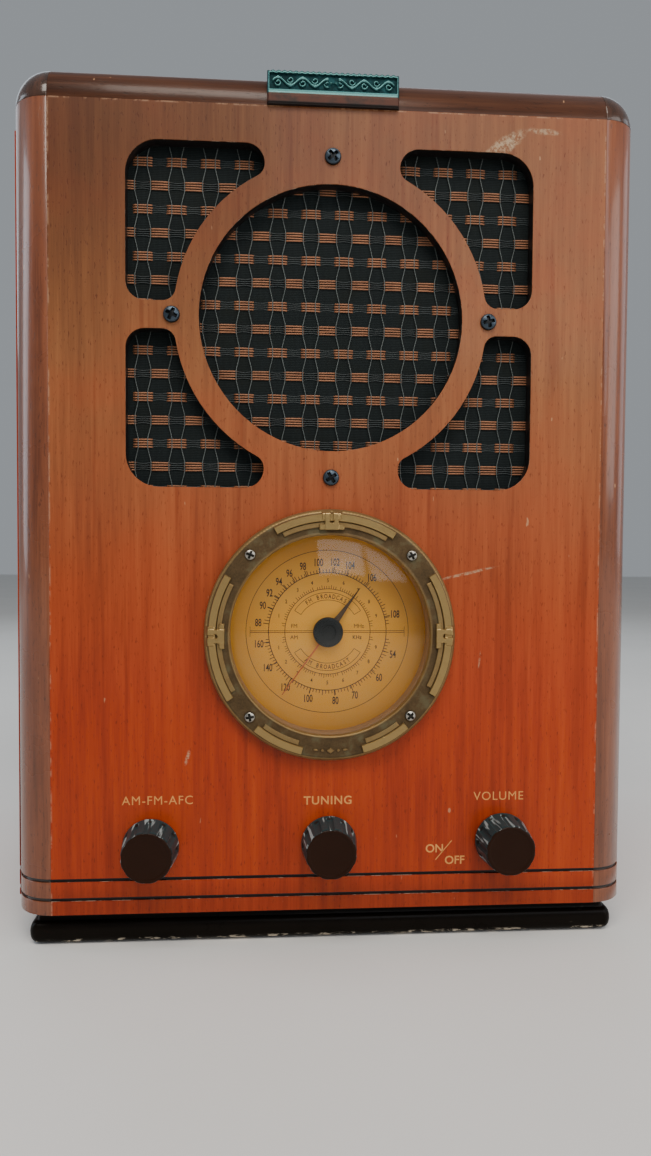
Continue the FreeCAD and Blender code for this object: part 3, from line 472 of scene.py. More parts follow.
@dataclass(frozen=True)
class BlackLacquer(Finish):
    """Black painted moulding, chipped pale along its lowest edge."""

    name: str
    chip_top: float
    clean: Colour = (0.0030, 0.0020, 0.0012)
    dusty: Colour = (0.014, 0.010, 0.007)
    scuffed: Colour = (0.080, 0.070, 0.055)
    chipped: Colour = (0.55, 0.47, 0.36)

    def paint(self, graph: Graph) -> bpy.types.Material:
        """Build the node tree.

        Args:
            graph: the new material's empty tree.

        Returns:
            The finished material.
        """
        edge = graph.axis(2).rise(self.chip_top, self.chip_top - 1.3 * MM)
        ragged = graph.noise(graph.stretch((1, 1, 2.2)), 230, 5.0, 0.7)
        chips = edge * ragged.rise(0.53, 0.57)
        scuffs = graph.specks(300, 0.02, (0.3, 0.3, 1.0)) * 0.5
        dust = graph.noise(graph.place(), 90, 5.0, 0.65)
        colour = graph.mix(dust * 0.30, self.clean, self.dusty)
        colour = graph.mix(scuffs, colour, self.scuffed)
        colour = graph.mix(chips, colour, self.chipped)
        rough = dust * 0.30 + chips * 0.4 + 0.16
        return graph.surface(Base_Color=colour, Roughness=rough, Coat_Weight=0.01, Coat_Roughness=0.12,
                             Specular_IOR_Level=0.06, Normal=graph.bump(dust * 0.4 - chips, 0.06 * MM, 0.6))


@dataclass(frozen=True)
class AgedBrass(Finish):
    """Cast brass: dark green-grey in the hollows, rubbed golden on what stands out."""

    name: str
    hollow_y: float
    proud_y: float
    rubbed: Colour = (0.340, 0.228, 0.090)
    body: Colour = (0.165, 0.102, 0.045)
    deep: Colour = (0.050, 0.034, 0.018)
    verdigris: Colour = (0.095, 0.105, 0.060)
    ledge_top: float = 0.0
    # Painted reflection on the plain ledge, and painted shadow at the plate's foot.
    ledge_tones: tuple = ((0.076, 0.016, 0.006), (0.034, 0.009, 0.004))
    foot_tone: Colour = (0.010, 0.010, 0.010)
    ring: tuple = ()

    def paint(self, graph: Graph) -> bpy.types.Material:
        """Build the node tree.

        Args:
            graph: the new material's empty tree.

        Returns:
            The finished material.
        """
        proud = graph.axis(1).rise(self.hollow_y, self.proud_y)
        cloud = graph.noise(graph.place(), 170, 5.0, 0.65)
        grit = graph.noise(graph.place(), 1500, 4.0, 0.7)
        if self.ring:
            x, z, inner, outer = self.ring
            across, above = graph.axis(0) - x, graph.axis(2) - z
            radius = (across * across + above * above) ** 0.5
            outer_lip = radius.rise(outer - 1.7 * MM, outer - 0.9 * MM)
            lip = outer_lip.larger(radius.rise(inner + 1.3 * MM, inner))
            proud = proud.larger(lip * 0.75)
        level = proud * 0.66 + cloud * 0.34 + grit * 0.24 - 0.14
        colour = graph.ramp(level, [(0.12, self.deep), (0.42, self.body), (0.82, self.rubbed)])
        green = cloud.rise(0.50, 0.66) * (1.0 - proud * 0.75)
        colour = graph.mix(green * 0.45, colour, self.verdigris)
        plain: Setting = 0.0
        if self.ledge_top:
            plain = graph.axis(2).rise(self.ledge_top, self.ledge_top - 0.5 * MM) * 0.9
            # Painted reflection: the plain ledge loses its metal and takes red-brown tones for the warm
            # surroundings it reflects.
            ledge = graph.mix(cloud.rise(0.4, 0.7), *self.ledge_tones)
            colour = graph.mix(plain, colour, ledge)
            # Painted shadow: the plate's lowest edge is painted nearly black.
            foot = graph.axis(2).rise(self.ledge_top - 3.0 * MM, self.ledge_top - 3.7 * MM)
            colour = graph.mix(foot * 0.9, colour, self.foot_tone)
        brush = graph.noise(graph.stretch((1.0, 1.0, 0.2)), 2400, 2.0, 0.6)
        metal = (proud * 0.35 + 0.55 - green * 0.25) * (1.0 - plain)
        return graph.surface(Base_Color=colour, Metallic=metal, Specular_IOR_Level=0.12,
                             Roughness=0.52 - proud * 0.20 + grit * 0.16,
                             Normal=graph.bump(grit * 0.7 + brush * 0.3, 0.07 * MM, 0.75))


@dataclass(frozen=True)
class Metal(Finish):
    """Plated or bare metal with fine brushing and dull spots."""

    name: str
    colour: Colour = (0.62, 0.62, 0.60)
    roughness: float = 0.28
    metallic: float = 1.0
    brush: tuple = (1.0, 1.0, 0.1)
    # Depths between which a screw head is painted with shade, and the shade's colour.
    recess: tuple = ()
    recess_tone: Colour = (0.008, 0.007, 0.006)

    def paint(self, graph: Graph) -> bpy.types.Material:
        """Build the node tree.

        Args:
            graph: the new material's empty tree.

        Returns:
            The finished material.
        """
        lines = graph.noise(graph.stretch(self.brush), 2600, 3.0, 0.6)
        spots = graph.noise(graph.place(), 340, 4.0, 0.65)
        dull = tuple(part * 0.62 for part in self.colour)
        colour = graph.mix(spots.rise(0.42, 0.72) * 0.55, self.colour, dull)
        # Painted shade: where a screw head stands less proud than the given depths, at the bottom of its
        # cross recess and round its edge, it is painted nearly black.
        if self.recess:
            colour = graph.mix(graph.axis(1).rise(*self.recess) * 0.92, colour, self.recess_tone)
        return graph.surface(Base_Color=colour, Metallic=self.metallic,
                             Roughness=spots * 0.22 + (self.roughness - 0.08) + lines * 0.06,
                             Normal=graph.bump(lines, 0.012 * MM, 0.6))


@dataclass(frozen=True)
class Plastic(Finish):
    """Moulded plastic, rubber, paper or felt, told apart by its grain and gloss."""

    name: str
    colour: Colour = (0.010, 0.012, 0.013)
    roughness: float = 0.22
    grain: float = 900.0
    depth: float = 0.015 * MM
    variation: float = 0.35
    coat: float = 0.0
    shine: float = 0.5
    # Painted reflection and highlight on the flanks of a knob: a teal tint and pale streaks.
    worn_flanks: bool = False
    flank_tone: Colour = (0.018, 0.036, 0.039)
    worn_tone: Colour = (0.330, 0.390, 0.390)

    def paint(self, graph: Graph) -> bpy.types.Material:
        """Build the node tree.

        Args:
            graph: the new material's empty tree.

        Returns:
            The finished material.
        """
        grain = graph.noise(graph.place(), self.grain, 4.0, 0.65)
        film = graph.noise(graph.place(), 150, 4.0, 0.6)
        pale = tuple(min(1.0, part * 1.6 + 0.004) for part in self.colour)
        colour = graph.mix((film * 0.6 + grain * 0.4).rise(0.3, 0.8) * self.variation, self.colour, pale)
        # Painted reflection and highlight: surfaces that face sideways are tinted teal for the cool light
        # they reflect and streaked pale for glints along the flutes.
        if self.worn_flanks:
            normal = graph.node("ShaderNodeTexCoord", output=1)
            facing = graph.node("ShaderNodeSeparateXYZ", inputs={0: normal}, output=1).size()
            flank = facing.rise(0.75, 0.30)
            colour = graph.mix(flank, colour, self.flank_tone)
            worn = graph.noise(graph.stretch((1.0, 0.06, 1.0)), 620, 2.0, 0.5).rise(0.56, 0.64)
            colour = graph.mix(worn * flank * 0.75, colour, self.worn_tone)
        rough = film * 0.16 + grain * 0.08 + (self.roughness - 0.1)
        return graph.surface(Base_Color=colour, Roughness=rough, Coat_Weight=self.coat,
                             Coat_Roughness=0.06, Specular_IOR_Level=self.shine,
                             Normal=graph.bump(grain, self.depth, 0.7))


@dataclass(frozen=True)
class GroundWeave(Finish):
    """Dark plain weave of the grille cloth: fine warp ribs crossed by finer weft."""

    name: str
    rib: float = 0.45 * MM
    weft: float = 0.62 * MM
    dark: Colour = (0.0010, 0.0018, 0.0022)
    mid: Colour = (0.0045, 0.0080, 0.0085)
    light: Colour = (0.020, 0.028, 0.027)
    stain: Colour = (0.005, 0.006, 0.003)

    def paint(self, graph: Graph) -> bpy.types.Material:
        """Build the node tree.

        Args:
            graph: the new material's empty tree.

        Returns:
            The finished material.
        """
        warp = graph.axis(0).wave(self.rib)
        weft = graph.axis(2).wave(self.weft)
        yarn = warp * 0.6 + weft * 0.4
        fuzz = graph.noise(graph.place(), 2100, 4.0, 0.7)
        patch = graph.noise(graph.place(), 60, 3.0, 0.6)
        tone = yarn * 0.7 + fuzz * 0.3
        colour = graph.ramp(tone, [(0.22, self.dark), (0.60, self.mid), (0.95, self.light)])
        colour = graph.mix(patch.rise(0.45, 0.7) * 0.35, colour, self.stain)
        return graph.surface(Base_Color=colour, Roughness=0.85 - fuzz * 0.15,
                             Normal=graph.bump(yarn + fuzz * 0.5, 0.10 * MM, 0.9), Specular_IOR_Level=0.15)


@dataclass(frozen=True)
class Yarn(Finish):
    """Shiny woven yarn with a visible twist."""

    name: str
    dark: Colour
    light: Colour
    twist_across: float
    twist_up: float
    metallic: float = 0.25

    def paint(self, graph: Graph) -> bpy.types.Material:
        """Build the node tree.

        Args:
            graph: the new material's empty tree.

        Returns:
            The finished material.
        """
        twist = (graph.axis(0) * self.twist_across + graph.axis(2) * self.twist_up).wave(0.55 * MM)
        fibre = graph.noise(graph.place(), 3200, 3.0, 0.65)
        patch = graph.noise(graph.place(), 210, 3.0, 0.6)
        tone = twist * 0.30 + fibre * 0.35 + patch * 0.35
        colour = graph.ramp(tone, [(0.28, self.dark), (0.68, self.light)])
        return graph.surface(Base_Color=colour, Roughness=0.42 + fibre * 0.2, Metallic=self.metallic,
                             Normal=graph.bump(twist * 0.6 + fibre * 0.6, 0.05 * MM, 0.9))


@dataclass(frozen=True)
class DialPaper(Finish):
    """Amber printed dial, a little darker and dustier towards its rim."""

    name: str
    centre: tuple
    centre_colour: Colour = (0.790, 0.350, 0.020)
    rim_colour: Colour = (0.780, 0.360, 0.035)
    faded: Colour = (0.700, 0.400, 0.090)
    speck: Colour = (0.420, 0.210, 0.045)

    def paint(self, graph: Graph) -> bpy.types.Material:
        """Build the node tree.

        Args:
            graph: the new material's empty tree.

        Returns:
            The finished material.
        """
        across = graph.axis(0) - self.centre[0]
        above = graph.axis(2) - self.centre[1]
        radius = (across * across + above * above) ** 0.5
        cloud = graph.noise(graph.place(), 70, 4.0, 0.6)
        grit = graph.noise(graph.place(), 2600, 3.0, 0.6)
        colour = graph.mix(radius.rise(28 * MM, 42 * MM), self.centre_colour, self.rim_colour)
        colour = graph.mix(cloud.rise(0.35, 0.75) * 0.25, colour, self.faded)
        colour = graph.mix(grit.rise(0.55, 0.75) * 0.16, colour, self.speck)
        return graph.surface(Base_Color=colour, Roughness=cloud * 0.2 + 0.42,
                             Normal=graph.bump(grit, 0.012 * MM, 0.5))


@dataclass(frozen=True)
class Ink(Finish):
    """Printed ink or paint laid on a surface, slightly uneven."""

    name: str
    colour: Colour
    worn: Colour
    wear: float = 0.25
    metallic: float = 0.0

    def paint(self, graph: Graph) -> bpy.types.Material:
        """Build the node tree.

        Args:
            graph: the new material's empty tree.

        Returns:
            The finished material.
        """
        patch = graph.noise(graph.place(), 900, 4.0, 0.7)
        colour = graph.mix(patch.rise(0.48, 0.70) * self.wear, self.colour, self.worn)
        return graph.surface(Base_Color=colour, Roughness=patch * 0.2 + 0.38, Metallic=self.metallic,
                             Normal=graph.bump(patch, 0.01 * MM, 0.5))


@dataclass(frozen=True)
class ClearLens(Finish):
    """Clear moulded lens: see-through face on, mirror-like where it turns away."""

    name: str
    least: float = 0.014
    most: float = 0.55

    def paint(self, graph: Graph) -> bpy.types.Material:
        """Build the node tree.

        Args:
            graph: the new material's empty tree.

        Returns:
            The finished material.
        """
        turn = graph.node("ShaderNodeLayerWeight", None, {"Blend": 0.30})
        smear = graph.noise(graph.stretch((1.0, 1.0, 0.3)), 420, 4.0, 0.6)
        haze = graph.noise(graph.place(), 60, 4.0, 0.6)
        share = (turn ** 2.0) * (self.most - self.least) + self.least + haze.rise(0.5, 0.8) * 0.01
        clear = graph.node("ShaderNodeBsdfTransparent", None, {"Color": (0.97, 0.97, 0.95, 1.0)})
        gloss = graph.node("ShaderNodeBsdfPrincipled", None, {
            "Base Color": (0.90, 0.92, 0.93, 1.0), "Metallic": 1.0, "Roughness": smear * 0.05 + 0.02})
        mixed = graph.node("ShaderNodeMixShader", None, {0: share, 1: clear, 2: gloss})
        graph.tree.links.new(mixed.socket, graph.output.inputs["Surface"])
        return graph.material


# Painted light: tones of the front panel's upper part, paler and greyer for the cool light there.
PAINTED_TOP_LIGHT_TONES = ((0.180, 0.064, 0.024), (0.236, 0.086, 0.031), (0.296, 0.116, 0.042))
WOOD_UP = Veneer("mahogany_upright", faded=PAINTED_TOP_LIGHT_TONES)
WOOD_SIDE = Veneer("mahogany_side", shift=1.3)
WOOD_TOP = Veneer("mahogany_top", Along.ACROSS, (0.110, 0.026, 0.009), (0.180, 0.045, 0.015),
                  (0.260, 0.075, 0.026), shift=2.2)
POST_TONES = ((0.100, 0.028, 0.011), (0.165, 0.047, 0.018), (0.235, 0.076, 0.030))
RAIL_TONES = ((0.028, 0.010, 0.005), (0.054, 0.019, 0.009), (0.090, 0.034, 0.016))
POST_WOOD = Veneer("moulding_upright", Along.UP, *POST_TONES, lacquer=0.40, shine=0.35,
                   roughness=0.26, shift=4.0)
RAIL_WOOD = Veneer("moulding_across", Along.ACROSS, *RAIL_TONES, lacquer=0.10, shine=0.15,
                   roughness=0.28, shift=5.0)
SIDE_RAIL_WOOD = Veneer("moulding_back", Along.BACK, *RAIL_TONES, lacquer=0.10, shine=0.15,
                        roughness=0.28, shift=6.0)
CORNER_WOOD = Veneer("corner_block", Along.UP, (0.022, 0.012, 0.008), (0.044, 0.020, 0.012),
                     (0.080, 0.034, 0.020), lacquer=0.5, roughness=0.22, shift=7.0)
# Painted reflection: the knobs' black is tinted brown for warm reflected colour on their faces.
BLACK_GLOSS = Plastic("black_knob", (0.0150, 0.0048, 0.0016), 0.30, 1300, variation=0.12, coat=0.01,
                      shine=0.10, worn_flanks=True)
HUB_BLACK = Plastic("black_hub", (0.005, 0.007, 0.009), 0.42, 1500, variation=0.2, shine=0.3)
STEEL = Metal("plated_steel", (0.42, 0.42, 0.40))


# ------------------------------------------------------------------ mesh helpers

def make_object(name: str, points: Sequence, faces: Sequence, finish: Finish,
                sharp: float = 38.0) -> bpy.types.Object:
    """Make a mesh piece.

    Args:
        name: piece name.
        points: vertex positions.
        faces: vertex numbers of each face.
        finish: what it is made of.
        sharp: edges that turn by more than this many degrees stay crisp.

    Returns:
        The new object, linked to the scene.
    """
    mesh = bpy.data.meshes.new(name)
    mesh.from_pydata([tuple(point) for point in points], [], faces)
    mesh.validate()
    mesh.update()
    mesh.shade_smooth()
    mesh.set_sharp_from_angle(angle=math.radians(sharp))
    mesh.materials.append(finish.material())
    made = bpy.data.objects.new(name, mesh)
    bpy.context.scene.collection.objects.link(made)
    return made


def grid_faces(columns: int, rows: int, around: bool, closed: bool) -> list:
    """Quads of a grid stored row by row.

    Args:
        columns: points in a row.
        rows: number of rows.
        around: whether the last column joins the first.
        closed: whether the last row joins the first.

    Returns:
        Vertex numbers of each quad.
    """
    faces = []
    for row in range(rows if closed else rows - 1):
        below = (row + 1) % rows
        for column in range(columns if around else columns - 1):
            right = (column + 1) % columns
            faces.append((row * columns + column, row * columns + right,
                          below * columns + right, below * columns + column))
    return faces


def lathe(name: str, centre: Vector, profile: Sequence[tuple], finish: Finish,
          columns: int, shape: Optional[Callable] = None, sharp: float = 38.0) -> bpy.types.Object:
    """Turn a (radius, depth) profile in millimetres about an axis along Y.

    Args:
        name: piece name.
        centre: point on the axis from which depth is counted.
        profile: closed outline, clockwise when radius points right and depth up.
        finish: what it is made of.
        columns: steps round the axis.
        shape: optional function (radius, depth, angle) giving a new (radius, depth).
        sharp: crisp edge angle in degrees.

    Returns:
        The new object.
    """
    points = []
    for radius, depth in profile:
        for column in range(columns):
            angle = 2 * math.pi * column / columns
            reach, back = shape(radius, depth, angle) if shape else (radius, depth)
            points.append(centre + Vector((reach * math.cos(angle), back, reach * math.sin(angle))) * MM)
    faces = grid_faces(columns, len(profile), True, True)
    return make_object(name, points, faces, finish, sharp)


def smooth_step(value: float, start: float, stop: float) -> float:
    """Smooth 0 to 1 step between start and stop."""
    part = min(1.0, max(0.0, (value - start) / (stop - start)))
    return part * part * (3 - 2 * part)


def plateau(value: float, start: float, stop: float, soft: float) -> float:
    """1 between start and stop, falling smoothly to 0 outside them.

    Args:
        value: where it is read.
        start: lower end of the plateau.
        stop: upper end.
        soft: width of the fall.

    Returns:
        The height, from 0 to 1.
    """
    return smooth_step(value, start - soft, start) * (1 - smooth_step(value, stop, stop + soft))


def arc_points(centre: tuple, radius: float, start: float, stop: float, count: int) -> list:
    """Points along a circle.

    Args:
        centre: (across, up) of its middle.
        radius: its radius.
        start: angle of the first point in degrees.
        stop: angle of the last point.
        count: number of points, both ends included.

    Returns:
        (across, up) points.
    """
    angles = [math.radians(start + (stop - start) * step / (count - 1)) for step in range(count)]
    return [(centre[0] + radius * math.cos(angle), centre[1] + radius * math.sin(angle)) for angle in angles]


def soften(node: str, finish: Finish, width: float) -> None:
    """Dress a CAD node and round its crisp edges a little with modifiers.

    Args:
        node: the node's name.
        finish: what it is made of.
        width: width of the rounding in millimetres.
    """
    piece = frame["nodes"][node]
    dress(node, finish)
    weld = piece.modifiers.new("weld", "WELD")
    weld.merge_threshold = 0.004 * MM
    flats = piece.modifiers.new("flats", "DECIMATE")
    flats.decimate_type = "DISSOLVE"
    flats.angle_limit = math.radians(0.4)
    bevel = piece.modifiers.new("bevel", "BEVEL")
    bevel.width = width * MM
    bevel.segments = 2
    bevel.limit_method = "ANGLE"
    bevel.angle_limit = math.radians(35.0)
    bevel.harden_normals = True


def dress(node: str, finish: Finish) -> None:
    """Give every material slot of a CAD node one finish.

    Args:
        node: the node's name.
        finish: what it is made of.
    """
    piece = frame["nodes"][node]
    DRESSED.add(node)
    for index in range(len(piece.material_slots)):
        piece.material_slots[index].material = finish.material()
    if not piece.material_slots:
        piece.data.materials.append(finish.material())


def settle(piece: bpy.types.Object, body: str, *nodes: str, slot: Optional[str] = None) -> bpy.types.Object:
    """Let a piece ride on a body and stand for CAD nodes.

    Args:
        piece: the piece.
        body: the body that carries it.
        nodes: CAD nodes that it replaces.
        slot: name of its material slot; not used.

    Returns:
        The same piece.
    """
    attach(piece, body)
    if nodes:
        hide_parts(*nodes)
    log.info("%s on %s, for %s", piece.name, body, ", ".join(nodes) or "nothing in CAD")
    return piece


BOLDEN = 0.018
GLYPH_HALF_DEPTH = 0.5


class PrintSheet:
    """Flat printing on a plane that faces the front, gathered into one thin piece."""

    def __init__(self, centre: Vector, thick: float = 0.03) -> None:
        """Start an empty sheet; sizes are millimetres.

        Args:
            centre: a point on the printed plane, in metres.
            thick: thickness of the ink.
        """
        self.centre = centre
        self.thick = thick
        self.points: list = []
        self.faces: list = []

    def add_solid(self, points: Sequence[tuple], faces: Sequence[Sequence[int]]) -> None:
        """Add one solid.

        Args:
            points: (across, proud, up) places in millimetres.
            faces: vertex numbers of each face.
        """
        base = len(self.points)
        self.points += [self.centre + Vector((x, -proud, z)) * MM for x, proud, z in points]
        self.faces += [[base + index for index in face] for face in faces]

    def add_strip(self, left: Sequence[tuple], right: Sequence[tuple]) -> None:
        """Add a closed strip between two lines of (across, up) points.

        Args:
            left: points on the left of the way.
            right: as many points on the right of it.
        """
        count = len(left)
        points = [(x, proud, z) for proud in (self.thick, 0.0) for line in (right, left) for x, z in line]
        faces = []
        second, third, fourth = count, 2 * count, 3 * count
        for i in range(count - 1):
            j = i + 1
            faces += [(i, j, second + j, second + i), (fourth + i, fourth + j, third + j, third + i),
                      (third + i, third + j, j, i), (second + i, second + j, fourth + j, fourth + i)]
        end = count - 1
        faces += [(0, second, fourth, third), (third + end, fourth + end, second + end, end)]
        self.add_solid(points, faces)

    def arc(self, radius: float, width: float, start: float = 0.0, stop: float = 360.0) -> None:
        """Add an arc line.

        Args:
            radius: radius of its middle.
            width: width of the line.
            start: first angle in degrees.
            stop: last angle.
        """
        count = max(8, int(abs(stop - start) / 2.5)) + 1
        inner = arc_points((0, 0), radius - width / 2, start, stop, count)
        outer = arc_points((0, 0), radius + width / 2, start, stop, count)
        self.add_strip(inner, outer)

    def bar(self, start: tuple, stop: tuple, width: float) -> None:
        """Add a straight line.

        Args:
            start: (across, up) of its first end.
            stop: (across, up) of its other end.
            width: width of the line.
        """
        along = Vector((stop[0] - start[0], stop[1] - start[1])).normalized()
        side = Vector((-along.y, along.x)) * width / 2
        ends = [Vector(start), Vector(stop)]
        self.add_strip([tuple(spot + side) for spot in ends], [tuple(spot - side) for spot in ends])

    def tick(self, angle: float, inner: float, outer: float, width: float) -> None:
        """Add a radial line at an angle in degrees."""
        turn = math.radians(angle)
        self.bar((inner * math.cos(turn), inner * math.sin(turn)),
                 (outer * math.cos(turn), outer * math.sin(turn)), width)

    def curved_text(self, words: str, radius: float, start: float, stop: float, tall: float,
                    outward: bool) -> None:
        """Add words letter by letter along an arc.

        Args:
            words: what is printed.
            radius: radius of the letters' middles.
            start: angle of the first letter in degrees.
            stop: angle of the last letter.
            tall: height of a letter.
            outward: whether the tops of the letters point away from the centre.
        """
        for index, letter in enumerate(words):
            if letter != " ":
                angle = start + (stop - start) * index / (len(words) - 1)
                spot = (radius * math.cos(math.radians(angle)), radius * math.sin(math.radians(angle)))
                self.text(letter, spot, tall, angle - 90 if outward else angle + 90, 0.72)

    def text(self, words: str, spot: tuple, tall: float, turn: float = 0.0, squeeze: float = 1.0,
             spacing: float = 1.0) -> None:
        """Add words centred on a spot.

        Args:
            words: what is printed.
            spot: (across, up) of its middle.
            tall: height of a capital letter.
            turn: anticlockwise turn in degrees.
            squeeze: width factor.
            spacing: letter spacing factor.
        """
        curve = bpy.data.curves.new("glyphs", "FONT")
        curve.body = words
        curve.align_x = "CENTER"
        curve.space_character = spacing
        # Thickening makes the letter M fold over itself.
        curve.offset = 0.0 if "M" in words else BOLDEN
        curve.extrude = GLYPH_HALF_DEPTH
        curve.resolution_u = 4
        holder = bpy.data.objects.new("glyphs", curve)
        bpy.context.scene.collection.objects.link(holder)
        bpy.context.view_layer.update()
        flat = bpy.data.meshes.new_from_object(holder)
        ups = [vertex.co.y for vertex in flat.vertices]
        rise = max(ups) - min(ups)
        centre = (max(ups) + min(ups)) / 2
        scale = tall / rise
        cosine, sine = math.cos(math.radians(turn)), math.sin(math.radians(turn))
        points = []
        for vertex in flat.vertices:
            across = vertex.co.x * scale * squeeze
            above = (vertex.co.y - centre) * scale
            proud = (vertex.co.z + GLYPH_HALF_DEPTH) * self.thick
            points.append((spot[0] + across * cosine - above * sine, proud,
                           spot[1] + across * sine + above * cosine))
        self.add_solid(points, [tuple(face.vertices) for face in flat.polygons])
        bpy.data.objects.remove(holder)
        bpy.data.curves.remove(curve)
        bpy.data.meshes.remove(flat)

    def piece(self, name: str, finish: Finish) -> bpy.types.Object:
        """Make the thin printed piece."""
        return make_object(name, self.points, self.faces, finish, 30.0)


def screw_head(spot: Vector, radius: float, tall: float, turn: float, facing: float = -1.0) -> tuple:
    """Domed screw head with a cross recess.

    Args:
        spot: middle of the head's seat.
        radius: head radius in millimetres.
        tall: head height in millimetres.
        turn: how far the recess is turned, in degrees.
        facing: -1 when it faces the front, 1 when it faces the back.

    Returns:
        (points, faces).
    """
    rings, columns = 20, 72
    half, reach, lean = radius * 0.17, radius * 0.68, math.radians(turn)
    points = []
    for ring in range(1, rings + 1):
        part = ring / rings
        dome = tall * (1 - 0.42 * part ** 2.4) * (1 - 0.35 * smooth_step(part, 0.88, 1.0))
        for column in range(columns):
            angle = 2 * math.pi * column / columns
            first = abs(radius * part * math.cos(angle - lean))
            second = abs(radius * part * math.sin(angle - lean))
            slot = plateau(min(first, second), -1, half, 0.12) * plateau(max(first, second), -1, reach, 0.2)
            height = dome - 0.62 * tall * slot
            points.append(spot + Vector((radius * part * math.cos(angle), facing * height,
                                         radius * part * math.sin(angle))) * MM)
    for column in range(columns):
        angle = 2 * math.pi * column / columns
        points.append(spot + Vector((radius * math.cos(angle), 0, radius * math.sin(angle))) * MM)
    points.append(spot + Vector((0, facing * 0.3 * tall, 0)) * MM)
    faces = [face[::-1] for face in grid_faces(columns, rings + 1, True, False)]
    faces.append(tuple(rings * columns + i for i in range(columns))[::-1])
    faces += [(len(points) - 1, i, (i + 1) % columns) for i in range(columns)]
    return points, faces if facing < 0 else [face[::-1] for face in faces]


def tube(path: Sequence[Vector], radius: float, sides: int = 6, flat: float = 1.0) -> tuple:
    """Points and faces of a capped tube round a path that lies near a vertical plane.

    Args:
        path: points in metres.
        radius: half thickness in metres across the path.
        sides: points round the tube.
        flat: thickness along Y as a part of the thickness across.

    Returns:
        (points, faces).
    """
    points, faces = [], []
    for index, spot in enumerate(path):
        ahead = path[min(index + 1, len(path) - 1)] - path[max(index - 1, 0)]
        across = Vector((-ahead.z, 0.0, ahead.x)).normalized()
        for side in range(sides):
            angle = 2 * math.pi * side / sides
            points.append(spot + across * radius * math.cos(angle)
                          + Vector((0, radius * flat * math.sin(angle), 0)))
    faces += [face[::-1] for face in grid_faces(sides, len(path), True, False)]
    faces.append(tuple(range(sides)))
    faces.append(tuple(len(points) - sides + side for side in range(sides))[::-1])
    return points, faces


def twisted(path: Sequence[Vector], radius: float, lay: float) -> tuple:
    """Tube like a two-ply yarn, whose oval section turns along it.

    Args:
        path: points in metres.
        radius: half thickness in metres.
        lay: length in which the section turns once.

    Returns:
        (points, faces).
    """
    sides = 8
    points, faces = tube(path, radius, sides)
    travelled = 0.0
    for index, spot in enumerate(path):
        travelled += (spot - path[index - 1]).length if index else 0.0
        for side in range(sides):
            bulge = 0.78 + 0.22 * math.cos(2 * (2 * math.pi * side / sides - math.pi * travelled / lay))
            number = index * sides + side
            points[number] = spot + (points[number] - spot) * bulge
    return points, faces


def gather(name: str, parts: Sequence[tuple], finish: Finish, sharp: float = 45.0) -> bpy.types.Object:
    """Make one piece of several solids.

    Args:
        name: piece name.
        parts: (points, faces) of each solid.
        finish: what it is made of.
        sharp: crisp edge angle in degrees.

    Returns:
        The new object, linked to the scene.
    """
    all_points: list = []
    all_faces: list = []
    for points, faces in parts:
        base = len(all_points)
        all_points += points
        all_faces += [[base + index for index in face] for face in faces]
    return make_object(name, all_points, all_faces, finish, sharp)


# ------------------------------------------------------------------ wooden case

